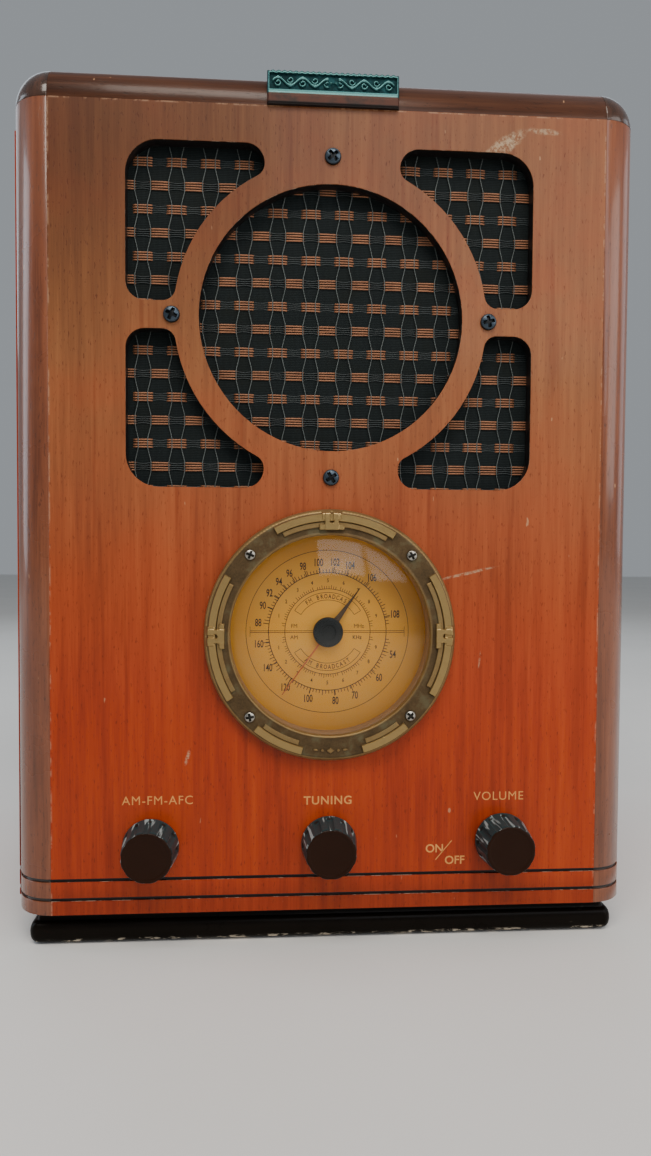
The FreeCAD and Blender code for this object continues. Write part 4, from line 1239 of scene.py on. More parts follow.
@dataclass
class Cabinet:
    """Wooden case with its black plinth, back and painted labels."""

    bead_top: float = 8.8
    bead_depth: float = 3.0
    neck: float = 2.4
    plinth_corner: float = 3.2
    label_tall: float = 3.25
    screw_across: float = 106.0
    screw_heights: tuple = (29.5, 163.5, 299.5)
    head_radius: float = 3.3
    head_tall: float = 1.9

    def build(self) -> None:
        """Dress the boards and add the pieces that the CAD model keeps plain."""
        self.dress_wood()
        self.plinth()
        self.labels()
        self.back_fittings()

    def dress_wood(self) -> None:
        """Veneer every board and moulding and ease their edges."""
        soften("front_panel", WOOD_UP, 0.35)
        for side in ("left", "right"):
            soften(f"corner_post_{side}", POST_WOOD, 0.15)
            soften(f"side_board_{side}", WOOD_SIDE, 0.2)
            soften(f"side_overlay_{side}", WOOD_SIDE, 0.4)
            soften(f"top_side_rail_{side}", SIDE_RAIL_WOOD, 0.12)
            soften(f"top_corner_{side}", CORNER_WOOD, 0.12)
        soften("top_front_rail", RAIL_WOOD, 0.12)
        soften("top_panel", WOOD_TOP, 0.15)
        soften("bottom_board", BareWood("bottom_plywood"), 0.3)
        soften("back_panel", BareWood("back_hardboard", (0.17, 0.095, 0.050), Along.UP, 0.2), 0.3)
        soften("foot_pads", Plastic("felt_pad", (0.035, 0.038, 0.036), 0.95, 2600, 0.15 * MM), 0.4)

    def section(self) -> list[tuple[float, float]]:
        """Outline of the plinth's outside, from the floor side up.

        Returns:
            (inset, height) points in millimetres.
        """
        base = low("plinth").z / MM
        middle_z, half = (base + self.bead_top) / 2, (self.bead_top - base) / 2
        points = []
        for step in range(15):
            angle = math.radians(-90 + 180 * step / 14)
            inset = self.bead_depth * (1 - math.cos(angle) ** 0.55)
            points.append((inset, middle_z + half * math.sin(angle)))
        top = high("plinth").z / MM
        for step in range(8):
            part = step / 7
            hollow = 0.9 * math.sin(math.pi * part)
            points.append((self.neck + hollow * (1 - part), self.bead_top + (top - self.bead_top) * part))
        return points

    def plinth(self) -> None:
        """Sweep the bead and its hollow neck round the base."""
        centre, reach = middle("plinth"), (high("plinth") - low("plinth")) / 2 / MM
        points = []
        section = self.section()
        turns = 9
        for inset, height in section:
            corner = max(0.8, self.plinth_corner - inset * 0.5)
            for number, (right, back) in enumerate([(1, -1), (1, 1), (-1, 1), (-1, -1)]):
                spot = (right * (reach.x - inset - corner), back * (reach.y - inset - corner))
                first = -90 + 90 * number
                for x, y in arc_points(spot, corner, first, first + 90, turns):
                    points.append(Vector((centre.x + x * MM, centre.y + y * MM, height * MM)))
        around = 4 * turns
        faces = grid_faces(around, len(section), True, False)
        faces.append(tuple(range(around))[::-1])
        faces.append(tuple(len(points) - around + i for i in range(around)))
        finish = BlackLacquer("black_lacquer", low("plinth").z + 1.9 * MM)
        settle(make_object("plinth_moulding", points, faces, finish), "cabinet", "plinth",
               slot="black_lacquer")

    def labels(self) -> None:
        """Paint the generic words over the knobs."""
        sheet = PrintSheet(Vector((0.0, FRONT_Y, 0.0)), 0.02)
        for words, x, z in (("AM-FM-AFC", -63.9, 56.1), ("TUNING", -0.4, 55.2), ("VOLUME", 65.1, 55.9)):
            sheet.text(words, (x, z), self.label_tall, spacing=1.12)
        sheet.text("ON", (40.5, 36.0), self.label_tall)
        sheet.text("OFF", (48.3, 31.4), self.label_tall)
        sheet.bar((40.9, 31.6), (47.1, 38.9), 0.32)
        paint = Ink("gold_paint", (0.62, 0.25, 0.055), (0.34, 0.095, 0.018), 0.45)
        settle(sheet.piece("control_labels", paint), "cabinet", slot="dial_print")

    def back_fittings(self) -> None:
        """Round screw heads on the back and the rubber cord gland."""
        heads = []
        seat = high("back_panel").y
        for x in (-self.screw_across, self.screw_across):
            for z in self.screw_heights:
                spot = Vector((x * MM, seat, z * MM))
                heads.append(screw_head(spot, self.head_radius, self.head_tall, 20 + x + z, facing=1.0))
        soften("mains_gland", Plastic("gland_rubber", (0.020, 0.020, 0.020), 0.62, 1700, 0.03 * MM), 0.3)
        settle(gather("back_screw_heads", heads, STEEL), "cabinet", "back_screws", slot="steel")


# ------------------------------------------------------------------ badge

@dataclass
class Badge:
    """Cast plate on the front rail: scrollwork over a plain ledge."""

    ledge: float = 4.2
    relief: float = 0.75
    rows: int = 96
    columns: int = 300

    def ornament(self, x: float, z: float, half: float, base: float, top: float) -> float:
        """Height from 0 to 1 of the scrollwork at a point.

        Args:
            x: distance from the plate's middle.
            z: height above the seam.
            half: half width of the plate.
            base: height at which the scrollwork starts.
            top: height at which the plate ends.

        Returns:
            Relief height as a part of the full relief.
        """
        mid, half_tall = (base + top) / 2, (top - base) / 2
        across = abs(x)
        field = plateau(across, -1, half - 1.0, 0.25) * plateau(abs(z - mid), -1, half_tall - 0.75, 0.2)
        rim = 1 - field
        wave = 1.35 * math.sin(across * 2 * math.pi / 9.0)
        stem = 1 - smooth_step(abs(z - mid - wave), 0.28, 0.62)
        curl = 0.0
        for number in range(5):
            centre_x, lift = 2.25 + 4.5 * number, (1 if number % 2 else -1)
            right, above = across - centre_x, z - mid - 0.55 * lift
            reach = math.hypot(right, above)
            spiral = 0.55 + 0.30 * ((math.atan2(above, right) / math.pi) % 2)
            curl = max(curl, 1 - smooth_step(abs(reach - spiral), 0.16, 0.40))
            curl = max(curl, 1 - smooth_step(math.hypot(right * 0.8, above + 1.9 * lift), 0.45, 0.75))
        inner = plateau(across, 1.9, half - 2.0, 0.4)
        petals = max(0.0, math.cos(3 * math.atan2(z - mid, across + 1e-6)))
        flower = petals * (1 - smooth_step(across, 0.9, 1.9))
        return max(rim, max(stem, curl) * inner * 0.9, flower)

    def build(self) -> None:
        """Make the cast front as a height field and close it into a solid."""
        corner, far = low("badge"), high("badge")
        half, tall = (far.x - corner.x) / 2 / MM, (far.z - corner.z) / MM
        centre_x = (far.x + corner.x) / 2
        points = []
        for row in range(self.rows + 1):
            z = tall * row / self.rows
            for column in range(self.columns + 1):
                x = half * (2 * column / self.columns - 1)
                scallop = 0.45 * math.cos(x * 2 * math.pi / 4.2) ** 2 * smooth_step(z, tall - 2.0, tall)
                edge = smooth_step(half - abs(x), 0.0, 0.6)
                ledge = 1 - smooth_step(z, self.ledge - 0.5, self.ledge + 0.3)
                shelf = 1.5 + 0.35 * plateau(z, 0.6, self.ledge - 1.2, 0.4)
                plate = 0.55 + self.relief * self.ornament(x, z, half, self.ledge + 0.5, tall - 0.5)
                depth = (shelf * ledge + plate * (1 - ledge)) * (0.35 + 0.65 * edge)
                depth -= 0.5 * smooth_step(z, tall - 0.7, tall)
                points.append(Vector((centre_x + x * MM, corner.y + (2.0 - depth) * MM,
                                      corner.z + (z - scallop) * MM)))
        width = self.columns + 1
        front = len(points)
        outline = points[:width] + points[-width:]
        back = [Vector((point.x, far.y, point.z)) for point in outline]
        faces = grid_faces(width, self.rows + 1, False, False)
        faces += [(front + i + 1, i + 1, i, front + i) for i in range(self.columns)]
        last = self.rows * width
        faces += [(last + i, last + i + 1, front + width + i + 1, front + width + i)
                  for i in range(self.columns)]
        left = [row * width for row in range(self.rows + 1)]
        faces.append(tuple([front] + left + [front + width]))
        right = [row * width + self.columns for row in range(self.rows + 1)]
        faces.append(tuple([front + width + self.columns] + right[::-1] + [front + self.columns]))
        back_top = [front + width + i for i in range(width)]
        faces.append(tuple(back_top[::-1] + [front + i for i in range(width)]))
        finish = AgedBrass("badge_brass", corner.y + 1.5 * MM, corner.y + 0.75 * MM,
                           rubbed=(0.066, 0.165, 0.160), body=(0.016, 0.080, 0.086),
                           deep=(0.003, 0.016, 0.018), verdigris=(0.018, 0.100, 0.108),
                           ledge_top=corner.z + self.ledge * MM)
        piece = make_object("badge_plate", points + back, faces, finish, 60)
        settle(piece, "cabinet", "badge", slot="antique_brass")


# ------------------------------------------------------------------ grille

@dataclass
class Grille:
    """Woven grille cloth with its raised yarns, and the screws of the speaker."""

    row_step: float = 8.6
    first_row: float = 5.4
    column_step: float = 12.45
    inner_x: float = -7.6
    end_x: float = -1.35
    dash: float = 7.2
    dash_lines: int = 4
    line_gap: float = 0.92
    pinch: float = 1.75
    spread: float = 3.3
    thread: float = 0.27
    strand: float = 0.23
    link: float = 0.15
    lay: float = 1.3
    hold: float = 1.7
    border: float = 0.5
    columns_each_way: int = 8
    screw_radius: float = 3.0
    screw_tall: float = 1.9
    screw_turns: tuple = (12, 40, 65, 33)

    def build(self) -> None:
        """Weave the cloth and fit the screws."""
        centre = middle("grille_cloth")
        self.half_x = (high("grille_cloth").x - low("grille_cloth").x) / 2 / MM
        self.half_z = (high("grille_cloth").z - low("grille_cloth").z) / 2 / MM
        self.centre = Vector((centre.x, low("grille_cloth").y, centre.z))
        cloth = self.cloth()
        yarns = [self.dashes(), self.strands(), self.links()]
        self.screws()

    def spot(self, x: float, proud: float, z: float) -> Vector:
        """Point of the weave from its (across, proud, up) place in millimetres."""
        return self.centre + Vector((x, -proud, z)) * MM

    def cloth(self) -> bpy.types.Object:
        """Make the ground weave: a thin sheet that bows a little between its yarns.

        Returns:
            The sheet.
        """
        columns, rows = 164, 136
        points = []
        for row in range(rows + 1):
            z = self.half_z * (2 * row / rows - 1)
            for column in range(columns + 1):
                x = self.half_x * (2 * column / columns - 1)
                bow = 0.05 * math.cos(2 * math.pi * (x - self.end_x) / self.column_step)
                bow += 0.05 * math.cos(math.pi * (z - self.first_row) / self.row_step)
                points.append(self.spot(x, -0.32 + bow, z))
        faces = grid_faces(columns + 1, rows + 1, False, False)
        piece = make_object("grille_fabric", points, faces, GroundWeave("grille_ground"))
        skin = piece.modifiers.new("thickness", "SOLIDIFY")
        skin.thickness = 0.2 * MM
        skin.offset = 0.0
        return settle(piece, "cabinet", "grille_cloth", slot="grille_fabric")

    def dash_spots(self) -> list[tuple[float, float]]:
        """Lay out the dashes, which alternate from row to row.

        Returns:
            (across, up) of the middle of every dash.
        """
        spots = []
        reach = int(self.half_z / self.row_step) + 1
        for row in range(-reach - 1, reach + 1):
            z = self.first_row + self.row_step * row
            first = self.inner_x if row % 2 == 0 else self.end_x
            for column in range(-self.columns_each_way, self.columns_each_way + 1):
                x = first + self.column_step * column
                if abs(z) < self.half_z - 2.2 and abs(x) < self.half_x - self.dash / 2 - 0.3:
                    spots.append((x, z))
        return spots

    def lifts(self) -> list[float]:
        """Heights of the yarns of one dash about its middle."""
        return [(line - (self.dash_lines - 1) / 2) * self.line_gap for line in range(self.dash_lines)]

    def dashes(self) -> bpy.types.Object:
        """Lay the copper yarns that float over the cloth in short bars.

        Returns:
            The piece that holds them all.
        """
        rng = random.Random(11)
        parts = []
        for x, z in self.dash_spots():
            for lift in self.lifts():
                half = self.dash / 2 + rng.uniform(-0.12, 0.12)
                lean = rng.uniform(-0.07, 0.07)
                path = []
                for step in range(9):
                    part = step / 4 - 1
                    rise = 0.30 * (1 - abs(part) ** 4) - 0.12 + 0.02 * math.cos(part * 9)
                    path.append(self.spot(x + half * part, rise, z + lift + lean * part))
                parts.append(tube(path, self.thread * MM, 6, 0.62))
        finish = Yarn("copper_yarn", (0.085, 0.032, 0.014), (0.360, 0.145, 0.062), 1.0, 0.6)
        return settle(gather("grille_copper_yarns", parts, finish, 80), "cabinet", slot="grille_fabric")

    def strands(self) -> bpy.types.Object:
        """Run the silver twisted strands that zigzag from dash to dash.

        Returns:
            The piece that holds them all.
        """
        parts = []
        reach = int(self.half_z / self.row_step) + 2
        for column in range(-self.columns_each_way, self.columns_each_way + 1):
            for side in (-1, 1):
                inner = self.inner_x + self.column_step * column + side * self.pinch
                beyond = column - (0 if side > 0 else 1)
                at_end = self.end_x + self.column_step * beyond - side * self.spread
                bends = [(inner if row % 2 == 0 else at_end, self.first_row + self.row_step * row)
                         for row in range(-reach, reach + 1)]
                path = self.strand_path(bends)
                if len(path) > 2:
                    parts.append(twisted(path, self.strand * MM, self.lay * MM))
        finish = Yarn("silver_yarn", (0.020, 0.027, 0.028), (0.120, 0.138, 0.130), 0.5, 1.0, 0.3)
        return settle(gather("grille_silver_strands", parts, finish, 80), "cabinet", slot="grille_fabric")

    def strand_path(self, bends: Sequence[tuple[float, float]]) -> list[Vector]:
        """Lead one strand straight across each dash and slanting between them.

        Args:
            bends: (across, up) of the strand at every row.

        Returns:
            Points of the strand that lie on the cloth.
        """
        path = []
        for (x0, z0), (x1, z1) in zip(bends, bends[1:]):
            for step in range(16):
                z = z0 + (z1 - z0) * step / 16
                slant = min(1.0, max(0.0, (z - z0 - self.hold) / (z1 - z0 - 2 * self.hold)))
                x = x0 + (x1 - x0) * (slant * 0.75 + smooth_step(slant, 0, 1) * 0.25)
                over = plateau(min(abs(z - z0), abs(z1 - z)), -1, self.hold, 1.2)
                if abs(z) < self.half_z - self.border and abs(x) < self.half_x - self.border:
                    path.append(self.spot(x, 0.14 + 0.12 * over, z))
        return path

    def links(self) -> bpy.types.Object:
        """Run the thin dark yarns that carry on between the dashes of each row.

        Returns:
            The piece that holds them all.
        """
        parts = []
        gap = self.column_step - self.dash
        for x, z in self.dash_spots():
            start = x + self.dash / 2
            if start + gap > self.half_x - self.border:
                continue
            for lift in self.lifts():
                sags = [math.sin(math.pi * step / 6) for step in range(7)]
                path = [self.spot(start + gap * step / 6, -0.14 + 0.10 * sag, z + lift * (1 - 0.25 * sag))
                        for step, sag in enumerate(sags)]
                parts.append(tube(path, self.link * MM, 5, 0.7))
        finish = Yarn("teal_yarn", (0.004, 0.007, 0.008), (0.020, 0.030, 0.030), 1.0, 0.3, 0.1)
        return settle(gather("grille_dark_links", parts, finish, 80), "cabinet", slot="grille_fabric")

    def screws(self) -> None:
        """Four black cross-head screws round the ring."""
        centre = middle("speaker_screws")
        reach = (high("speaker_screws").x - low("speaker_screws").x) / 2 / MM - self.screw_radius
        heads = []
        for number, turn in enumerate(self.screw_turns):
            angle = math.radians(90 * number)
            spot = Vector((centre.x + reach * math.cos(angle) * MM, FRONT_Y,
                           centre.z + reach * math.sin(angle) * MM))
            heads.append(screw_head(spot, self.screw_radius, self.screw_tall, turn))
        finish = Metal("blued_screw", (0.040, 0.058, 0.078), 0.30, 0.7,
                       recess=(FRONT_Y - 0.95 * MM, FRONT_Y - 0.82 * MM))
        settle(gather("speaker_screw_heads", heads, finish), "cabinet", "speaker_screws",
               slot="black_steel")


# ------------------------------------------------------------------ dial

@dataclass(frozen=True)
class RimBar:
    """A raised bar on the bezel: where it runs and whether it carries a slotted block."""

    start: float
    stop: float
    block: Optional[float] = None


@dataclass
class Dial:
    """Tuning dial: brass bezel, domed lens, printed face and two-armed pointer."""

    bars: tuple = (RimBar(58, 118, 90), RimBar(150, 212, 180), RimBar(-30, 31, 0),
                   RimBar(231, 256), RimBar(286, 310))
    bar_radii: tuple = (42.4, 45.0)
    step_radii: tuple = (40.4, 42.0)
    base_depth: float = -4.7
    bar_rise: float = 1.25
    step_rise: float = 0.65
    block_rise: float = 1.7
    numeral_radius: float = 27.1
    scale_radius: float = 22.9
    inner_radius: float = 16.6
    rim_radius: float = 31.6
    box_radii: tuple = (12.3, 15.2)
    box_edge: float = 57.5
    words_spread: float = 36.0
    digit_radius: float = 19.9
    line_reach: float = 30.0
    pointer_angle: float = 54.0
    arm_start: float = 4.6
    blade_reach: float = 21.0
    needle_reach: float = 30.0
    inner_edge: float = 37.2
    outer_edge: float = 46.8
    edge_beads: int = 220
    lens_radius: float = 37.0
    ornament_radius: float = 42.6
    screw_circle: float = 42.2
    screw_radius: float = 1.95
    screw_tall: float = 1.35
    screw_turns: tuple = (25, 70, 10, 48)

    def build(self) -> None:
        """Make the dial's pieces from the back to the front."""
        centre = middle("dial_bezel")
        self.centre = Vector((centre.x, FRONT_Y, centre.z))
        self.face_y = low("dial_face").y
        self.face()
        self.print_face()
        self.pointer()
        self.bezel()
        self.lens()
        self.screws()

    def face(self) -> None:
        """Give the CAD face its amber paper."""
        paper = DialPaper("dial_paper", (self.centre.x, self.centre.z))
        soften("dial_face", paper, 0.1)
        soften("dial_housing", Plastic("dial_housing_cream", (0.340, 0.225, 0.150), 0.55), 0.2)

    def print_face(self) -> None:
        """Print rings, ticks, numbers and generic words on the face."""
        sheet = PrintSheet(Vector((self.centre.x, self.face_y, self.centre.z)), 0.03)
        sheet.arc(self.rim_radius, 0.20)
        sheet.arc(self.scale_radius, 0.30)
        sheet.arc(self.inner_radius, 0.24)
        for lift in (-0.32, 0.32):
            for side in (-1, 1):
                sheet.bar((side * 5.0, lift), (side * self.line_reach, lift), 0.20)
        for side in (-1, 1):
            sheet.bar((side * self.line_reach, -2.0), (side * self.line_reach, 2.0), 0.16)
        self.print_ticks(sheet)
        self.print_numbers(sheet)
        self.print_boxes(sheet)
        for words, x, z in (("FM", -13.0, 2.2), ("MHz", 12.2, 2.2), ("AM", -13.0, -2.2), ("KHz", 11.5, -2.2)):
            sheet.text(words, (x, z), 1.5, squeeze=0.95)
        ink = Ink("brown_ink", (0.032, 0.012, 0.004), (0.100, 0.042, 0.010), 0.25)
        settle(sheet.piece("dial_printing", ink), "cabinet", slot="dial_print")

    def print_ticks(self, sheet: PrintSheet) -> None:
        """Add the fine divisions of both scales.

        Args:
            sheet: the dial's printing.
        """
        for step in range(120):
            angle = 3 * step + 1.5
            if abs(math.sin(math.radians(angle))) < 0.12:
                continue
            long = step % 4 == 0
            sheet.tick(angle, self.scale_radius, self.scale_radius + (2.0 if long else 1.3), 0.27)
            if step % 10 != 5:
                sheet.tick(angle, self.inner_radius, self.inner_radius + (1.5 if long else 1.1), 0.22)

    def print_numbers(self, sheet: PrintSheet) -> None:
        """Add the numbers of both bands and the small logging digits.

        Args:
            sheet: the dial's printing.
        """
        upper = (("88", 172.5), ("90", 158), ("92", 146.4), ("94", 134.4), ("96", 123.4), ("98", 111),
                 ("100", 98), ("102", 84.3), ("104", 71.6), ("106", 50.9), ("108", 14.6))
        lower = (("160", 190), ("140", 211), ("120", 232.8), ("100", 253.8), ("80", 276.8),
                 ("70", 293.5), ("60", 318.4), ("54", 340.8))
        for words, angle in upper + lower:
            turn = math.radians(angle)
            spot = (self.numeral_radius * math.cos(turn), self.numeral_radius * math.sin(turn))
            sheet.text(words, spot, 3.0, squeeze=0.62)
            sheet.tick(angle, self.scale_radius, self.scale_radius + 2.3, 0.30)
        for digit in range(1, 10):
            for half in (1, -1):
                turn = math.radians(half * (180 - 18 * digit))
                spot = (self.digit_radius * math.cos(turn), self.digit_radius * math.sin(turn))
                sheet.text(str(digit), spot, 1.5, squeeze=0.8)

    def print_boxes(self, sheet: PrintSheet) -> None:
        """Add the two curved label boxes and their words.

        Args:
            sheet: the dial's printing.
        """
        inner, outer = self.box_radii
        middle_radius, spread = (inner + outer) / 2, self.words_spread
        for half, words in ((90, "FM BROADCAST"), (270, "AM BROADCAST")):
            start, stop = half - self.box_edge, half + self.box_edge
            for radius in self.box_radii:
                sheet.arc(radius, 0.20, start, stop)
            for angle in (start, stop):
                sheet.tick(angle, inner, outer, 0.20)
            outward = half == 90
            first = spread if outward else -spread
            sheet.curved_text(words, middle_radius, half + first, half - first, 1.75, outward)

    def pointer(self) -> None:
        """Two-armed pointer under a round black hub, turning with the dial shaft."""
        centre = Vector((self.centre.x, low("pointer").y, self.centre.z))
        lean = math.radians(self.pointer_angle)
        blade = self.arm(centre, lean, self.arm_start, self.blade_reach, 1.35, 0.10, 0.5)
        # Painted shade: the upper arm is dark brown, standing for shade on that half of the pointer; the
        # needle below keeps its red.
        dark = Ink("pointer_shaded_arm", (0.070, 0.040, 0.020), (0.150, 0.095, 0.045), 0.4, 0.3)
        piece = make_object("pointer_blade", *blade, dark, 30)
        settle(piece, "dial_train", "pointer", slot="pointer_paint")
        needle = self.arm(centre, lean + math.pi, self.arm_start, self.needle_reach, 0.34, 0.16, 0.35)
        red = Ink("pointer_red", (0.560, 0.120, 0.030), (0.420, 0.100, 0.030), 0.3)
        piece = make_object("pointer_needle", *needle, red, 30)
        settle(piece, "dial_train", slot="pointer_paint")
        profile = [(5.8, 1.4), (5.8, 0.55), (5.6, 0.22), (5.1, 0.08), (3.2, 0.0), (2.9, 0.06), (2.7, 0.30),
                   (0.9, 0.34), (0.01, 0.34), (0.01, 1.4)]
        hub_centre = Vector((self.centre.x, low("pointer_hub").y, self.centre.z))
        hub = lathe("pointer_hub_cap", hub_centre, profile, HUB_BLACK, 96)
        settle(hub, "dial_train", "pointer_hub", slot="black_plastic")

    def arm(self, centre: Vector, lean: float, start: float, stop: float, wide: float, tip: float,
            thick: float) -> tuple:
        """One tapered, ridged arm.

        Args:
            centre: middle of the pointer on its front plane.
            lean: direction in radians from +X.
            start: distance at which it begins, in millimetres.
            stop: length of the arm.
            wide: half width where it begins.
            tip: half width at its end.
            thick: depth of the arm.

        Returns:
            (points, faces).
        """
        along = Vector((math.cos(lean), 0, math.sin(lean)))
        across = Vector((-math.sin(lean), 0, math.cos(lean)))
        back = Vector((0, 1, 0))
        points = []
        steps = 12
        for step in range(steps + 1):
            part = step / steps
            half = wide + (tip - wide) * part ** 0.75
            spot = centre + along * (start + (stop - start) * part) * MM
            for side, depth in ((-1, thick), (-1, thick * 0.45), (0, 0.0), (1, thick * 0.45), (1, thick)):
                points.append(spot + (across * side * half + back * depth) * MM)
        faces = grid_faces(5, steps + 1, True, False)
        faces.append(tuple(range(5))[::-1])
        faces.append(tuple(len(points) - 5 + i for i in range(5)))
        return points, faces

    def bezel_shape(self, radius: float, depth: float, angle: float) -> tuple[float, float]:
        """Raise the front of the bezel into bars, steps and slotted blocks.

        Args:
            radius: radius on the plain section, in millimetres.
            depth: its depth.
            angle: angle about the axis in radians.

        Returns:
            The new radius and depth.
        """
        turn = math.degrees(angle)
        if depth >= -2.5:
            return radius, depth
        bead_band = plateau(radius, 45.7, 46.4, 0.25)
        rise = 0.0
        for bar in self.bars:
            away = (turn - (bar.start + bar.stop) / 2 + 180) % 360 - 180
            half = (bar.stop - bar.start) / 2
            rise = max(rise, self.bar_rise * plateau(abs(away), -1, half, 0.35)
                       * plateau(radius, *self.bar_radii, 0.25))
            rise = max(rise, self.step_rise * plateau(abs(away), -1, half - 2.6, 0.35)
                       * plateau(radius, *self.step_radii, 0.2))
            if bar.block is not None:
                rise = max(rise, self.block(radius, math.radians(turn - bar.block)))
        rise += 0.05 * math.sin(angle * self.edge_beads) * bead_band
        return radius, depth - rise * max(plateau(radius, 38.9, 45.3, 0.3), bead_band)

    def block(self, radius: float, away: float) -> float:
        """Height of a cross-shaped block with a slot in it.

        Args:
            radius: radius in millimetres.
            away: angle from the block's middle in radians.

        Returns:
            The height in millimetres.
        """
        along, out = abs(radius * math.sin(away)), radius * math.cos(away)
        if math.cos(away) < 0.9:
            return 0.0
        body = plateau(along, -1, 2.5, 0.2) * plateau(out, 39.2, 45.4, 0.25)
        inner = plateau(along, -1, 4.5, 0.2) * plateau(out, 39.2, 40.9, 0.2)
        outer = plateau(along, -1, 3.5, 0.2) * plateau(out, 42.9, 45.4, 0.2)
        slot = plateau(along, -1, 0.4, 0.12) * plateau(out, 42.5, 46.0, 0.15)
        hole = 1 - smooth_step(math.hypot(along, out - 42.4), 0.65, 0.85)
        return self.block_rise * max(body, max(inner, outer) * 0.9) - 1.3 * max(slot, hole)

    def bezel(self) -> None:
        """Turn the bezel's section and carve its relief."""
        rim, rebate = 45.6, 38.4
        profile = [(self.outer_edge, -0.1), (self.outer_edge, -2.4), (46.75, -3.0), (46.4, -3.7),
                   (45.9, -4.3)]
        steps = 44
        for step in range(steps + 1):
            radius = rim - (rim - rebate) * step / steps
            profile.append((radius, self.base_depth + 0.25 * smooth_step(radius, 44.9, rim)))
        profile += [(38.1, -4.85), (37.8, -4.95), (37.5, -4.8), (37.25, -4.4), (self.inner_edge, -3.8),
                    (self.inner_edge, -2.0), (rebate, -2.0), (rebate, -0.1)]
        finish = AgedBrass("bezel_brass", self.centre.y + (self.base_depth + 0.3) * MM,
                           self.centre.y + (self.base_depth - self.bar_rise) * MM,
                           ring=(self.centre.x, self.centre.z, self.inner_edge * MM, self.outer_edge * MM))
        piece = lathe("bezel_ring", self.centre, profile, finish, 1440, self.bezel_shape, sharp=50)
        settle(piece, "cabinet", "dial_bezel", slot="antique_brass")
        self.lozenge(finish)

    def lozenge(self, finish: Finish) -> None:
        """Set a raised ornament at the foot of the bezel: a lozenge between dots.

        Args:
            finish: the bezel's own finish.
        """
        parts = []
        plane = self.centre + Vector((0, self.base_depth * MM, 0))
        for angle, wide, tall, sides in ((270, 1.9, 1.5, 4), (266.0, 0.7, 0.7, 16), (274.0, 0.7, 0.7, 16),
                                         (262.6, 1.2, 0.5, 16), (277.4, 1.2, 0.5, 16)):
            turn = math.radians(angle)
            out = Vector((math.cos(turn), 0, math.sin(turn)))
            along = Vector((-math.sin(turn), 0, math.cos(turn)))
            spot = plane + out * self.ornament_radius * MM
            corners = [2 * math.pi * number / sides for number in range(sides)]
            base = [spot + (along * wide * math.cos(corner) + out * tall * math.sin(corner)
                            + Vector((0, 0.12, 0))) * MM for corner in corners]
            top = [point + (spot - point) * 0.35 + Vector((0, -0.62, 0)) * MM for point in base]
            peak = spot + Vector((0, -0.66, 0)) * MM
            faces = [face[::-1] for face in grid_faces(sides, 2, True, False)]
            faces += [(2 * sides, sides + i, sides + (i + 1) % sides)[::-1] for i in range(sides)]
            faces.append(tuple(range(sides)))
            parts.append((base + top + [peak], faces))
        settle(gather("bezel_lozenge", parts, finish, 25), "cabinet", slot="antique_brass")

    def lens(self) -> None:
        """Domed clear lens held in the bezel's rebate."""
        crown, edge = low("dial_lens").y - self.centre.y, -2.2 * MM
        rise = (edge - crown) / MM
        outer = []
        for step in range(25):
            part = 1 - step / 24
            outer.append((self.lens_radius * part + 0.001, crown / MM + rise * part ** 2.4))
        inner = [(radius * 0.975, depth + 1.6) for radius, depth in outer[::-1]]
        profile = [(38.3, -0.4), (38.3, -1.9), (37.2, -1.95)] + outer + inner
        piece = lathe("dial_lens_dome", self.centre, profile, ClearLens("clear_lens"), 160, sharp=60)
        settle(piece, "cabinet", "dial_lens", slot="clear_lens")

    def screws(self) -> None:
        """Four bright screws that hold the bezel."""
        heads = []
        for number, turn in enumerate(self.screw_turns):
            angle = math.radians(45 + 90 * number)
            spot = self.centre + Vector((self.screw_circle * math.cos(angle), self.base_depth + 0.05,
                                         self.screw_circle * math.sin(angle))) * MM
            heads.append(screw_head(spot, self.screw_radius, self.screw_tall, turn))
        seat = self.centre.y + self.base_depth * MM
        finish = Metal("bezel_screw", (0.40, 0.38, 0.33), recess=(seat - 0.66 * MM, seat - 0.56 * MM))
        settle(gather("bezel_screw_heads", heads, finish), "cabinet", "bezel_screws", slot="steel")


# ------------------------------------------------------------------ controls

@dataclass
class Knob:
    """Fluted black control knob with a bevelled flat face."""

    which: str
    body: str
    flutes: int = 12
    flute_depth: float = 0.85
    flute_half: float = 7.2
    flute_front: float = -12.3
    flute_back: float = -3.0
    face_radius: float = 8.9

    def fluted(self, radius: float, depth: float, angle: float) -> tuple[float, float]:
        """Press the flutes into the side of the knob.

        Args:
            radius: radius on the plain section, in millimetres.
            depth: its depth.
            angle: angle about the axis in radians.

        Returns:
            The new radius and depth.
        """
        if radius < self.face_radius:
            return radius, depth
        pitch = 360 / self.flutes
        away = (math.degrees(angle) + pitch / 2) % pitch - pitch / 2
        part = min(1.0, abs(away) / self.flute_half)
        hollow = math.sqrt(max(0.0, 1 - part * part))
        ends = plateau(depth, self.flute_front, self.flute_back, 1.1)
        return radius - self.flute_depth * hollow * ends, depth

    def build(self) -> None:
        """Turn the knob and set it on its shaft's body."""
        spot = middle(f"knob_{self.which}")
        centre = Vector((spot.x, FRONT_Y, spot.z))
        side = [(10.3 - 0.9 * step / 30, -2.2 - 10.2 * step / 30) for step in range(31)]
        profile = [(10.0, -0.5), (10.35, -0.6), (10.45, -1.0), (10.42, -1.5), (10.3, -1.8)] + side
        profile += [(9.32, -12.8), (9.15, -13.15), (8.95, -13.38), (8.7, -13.48), (8.3, -13.5),
                    (7.9, -13.46), (7.7, -13.34), (7.5, -13.30), (4.0, -13.30), (0.01, -13.30),
                    (0.01, -10.0), (3.0, -10.0), (3.0, -0.5)]
        piece = lathe(f"{self.which}_knob", centre, profile, BLACK_GLOSS, 360, self.fluted, sharp=40)
        settle(piece, self.body, f"knob_{self.which}", slot="black_plastic")


# ------------------------------------------------------------------ inside

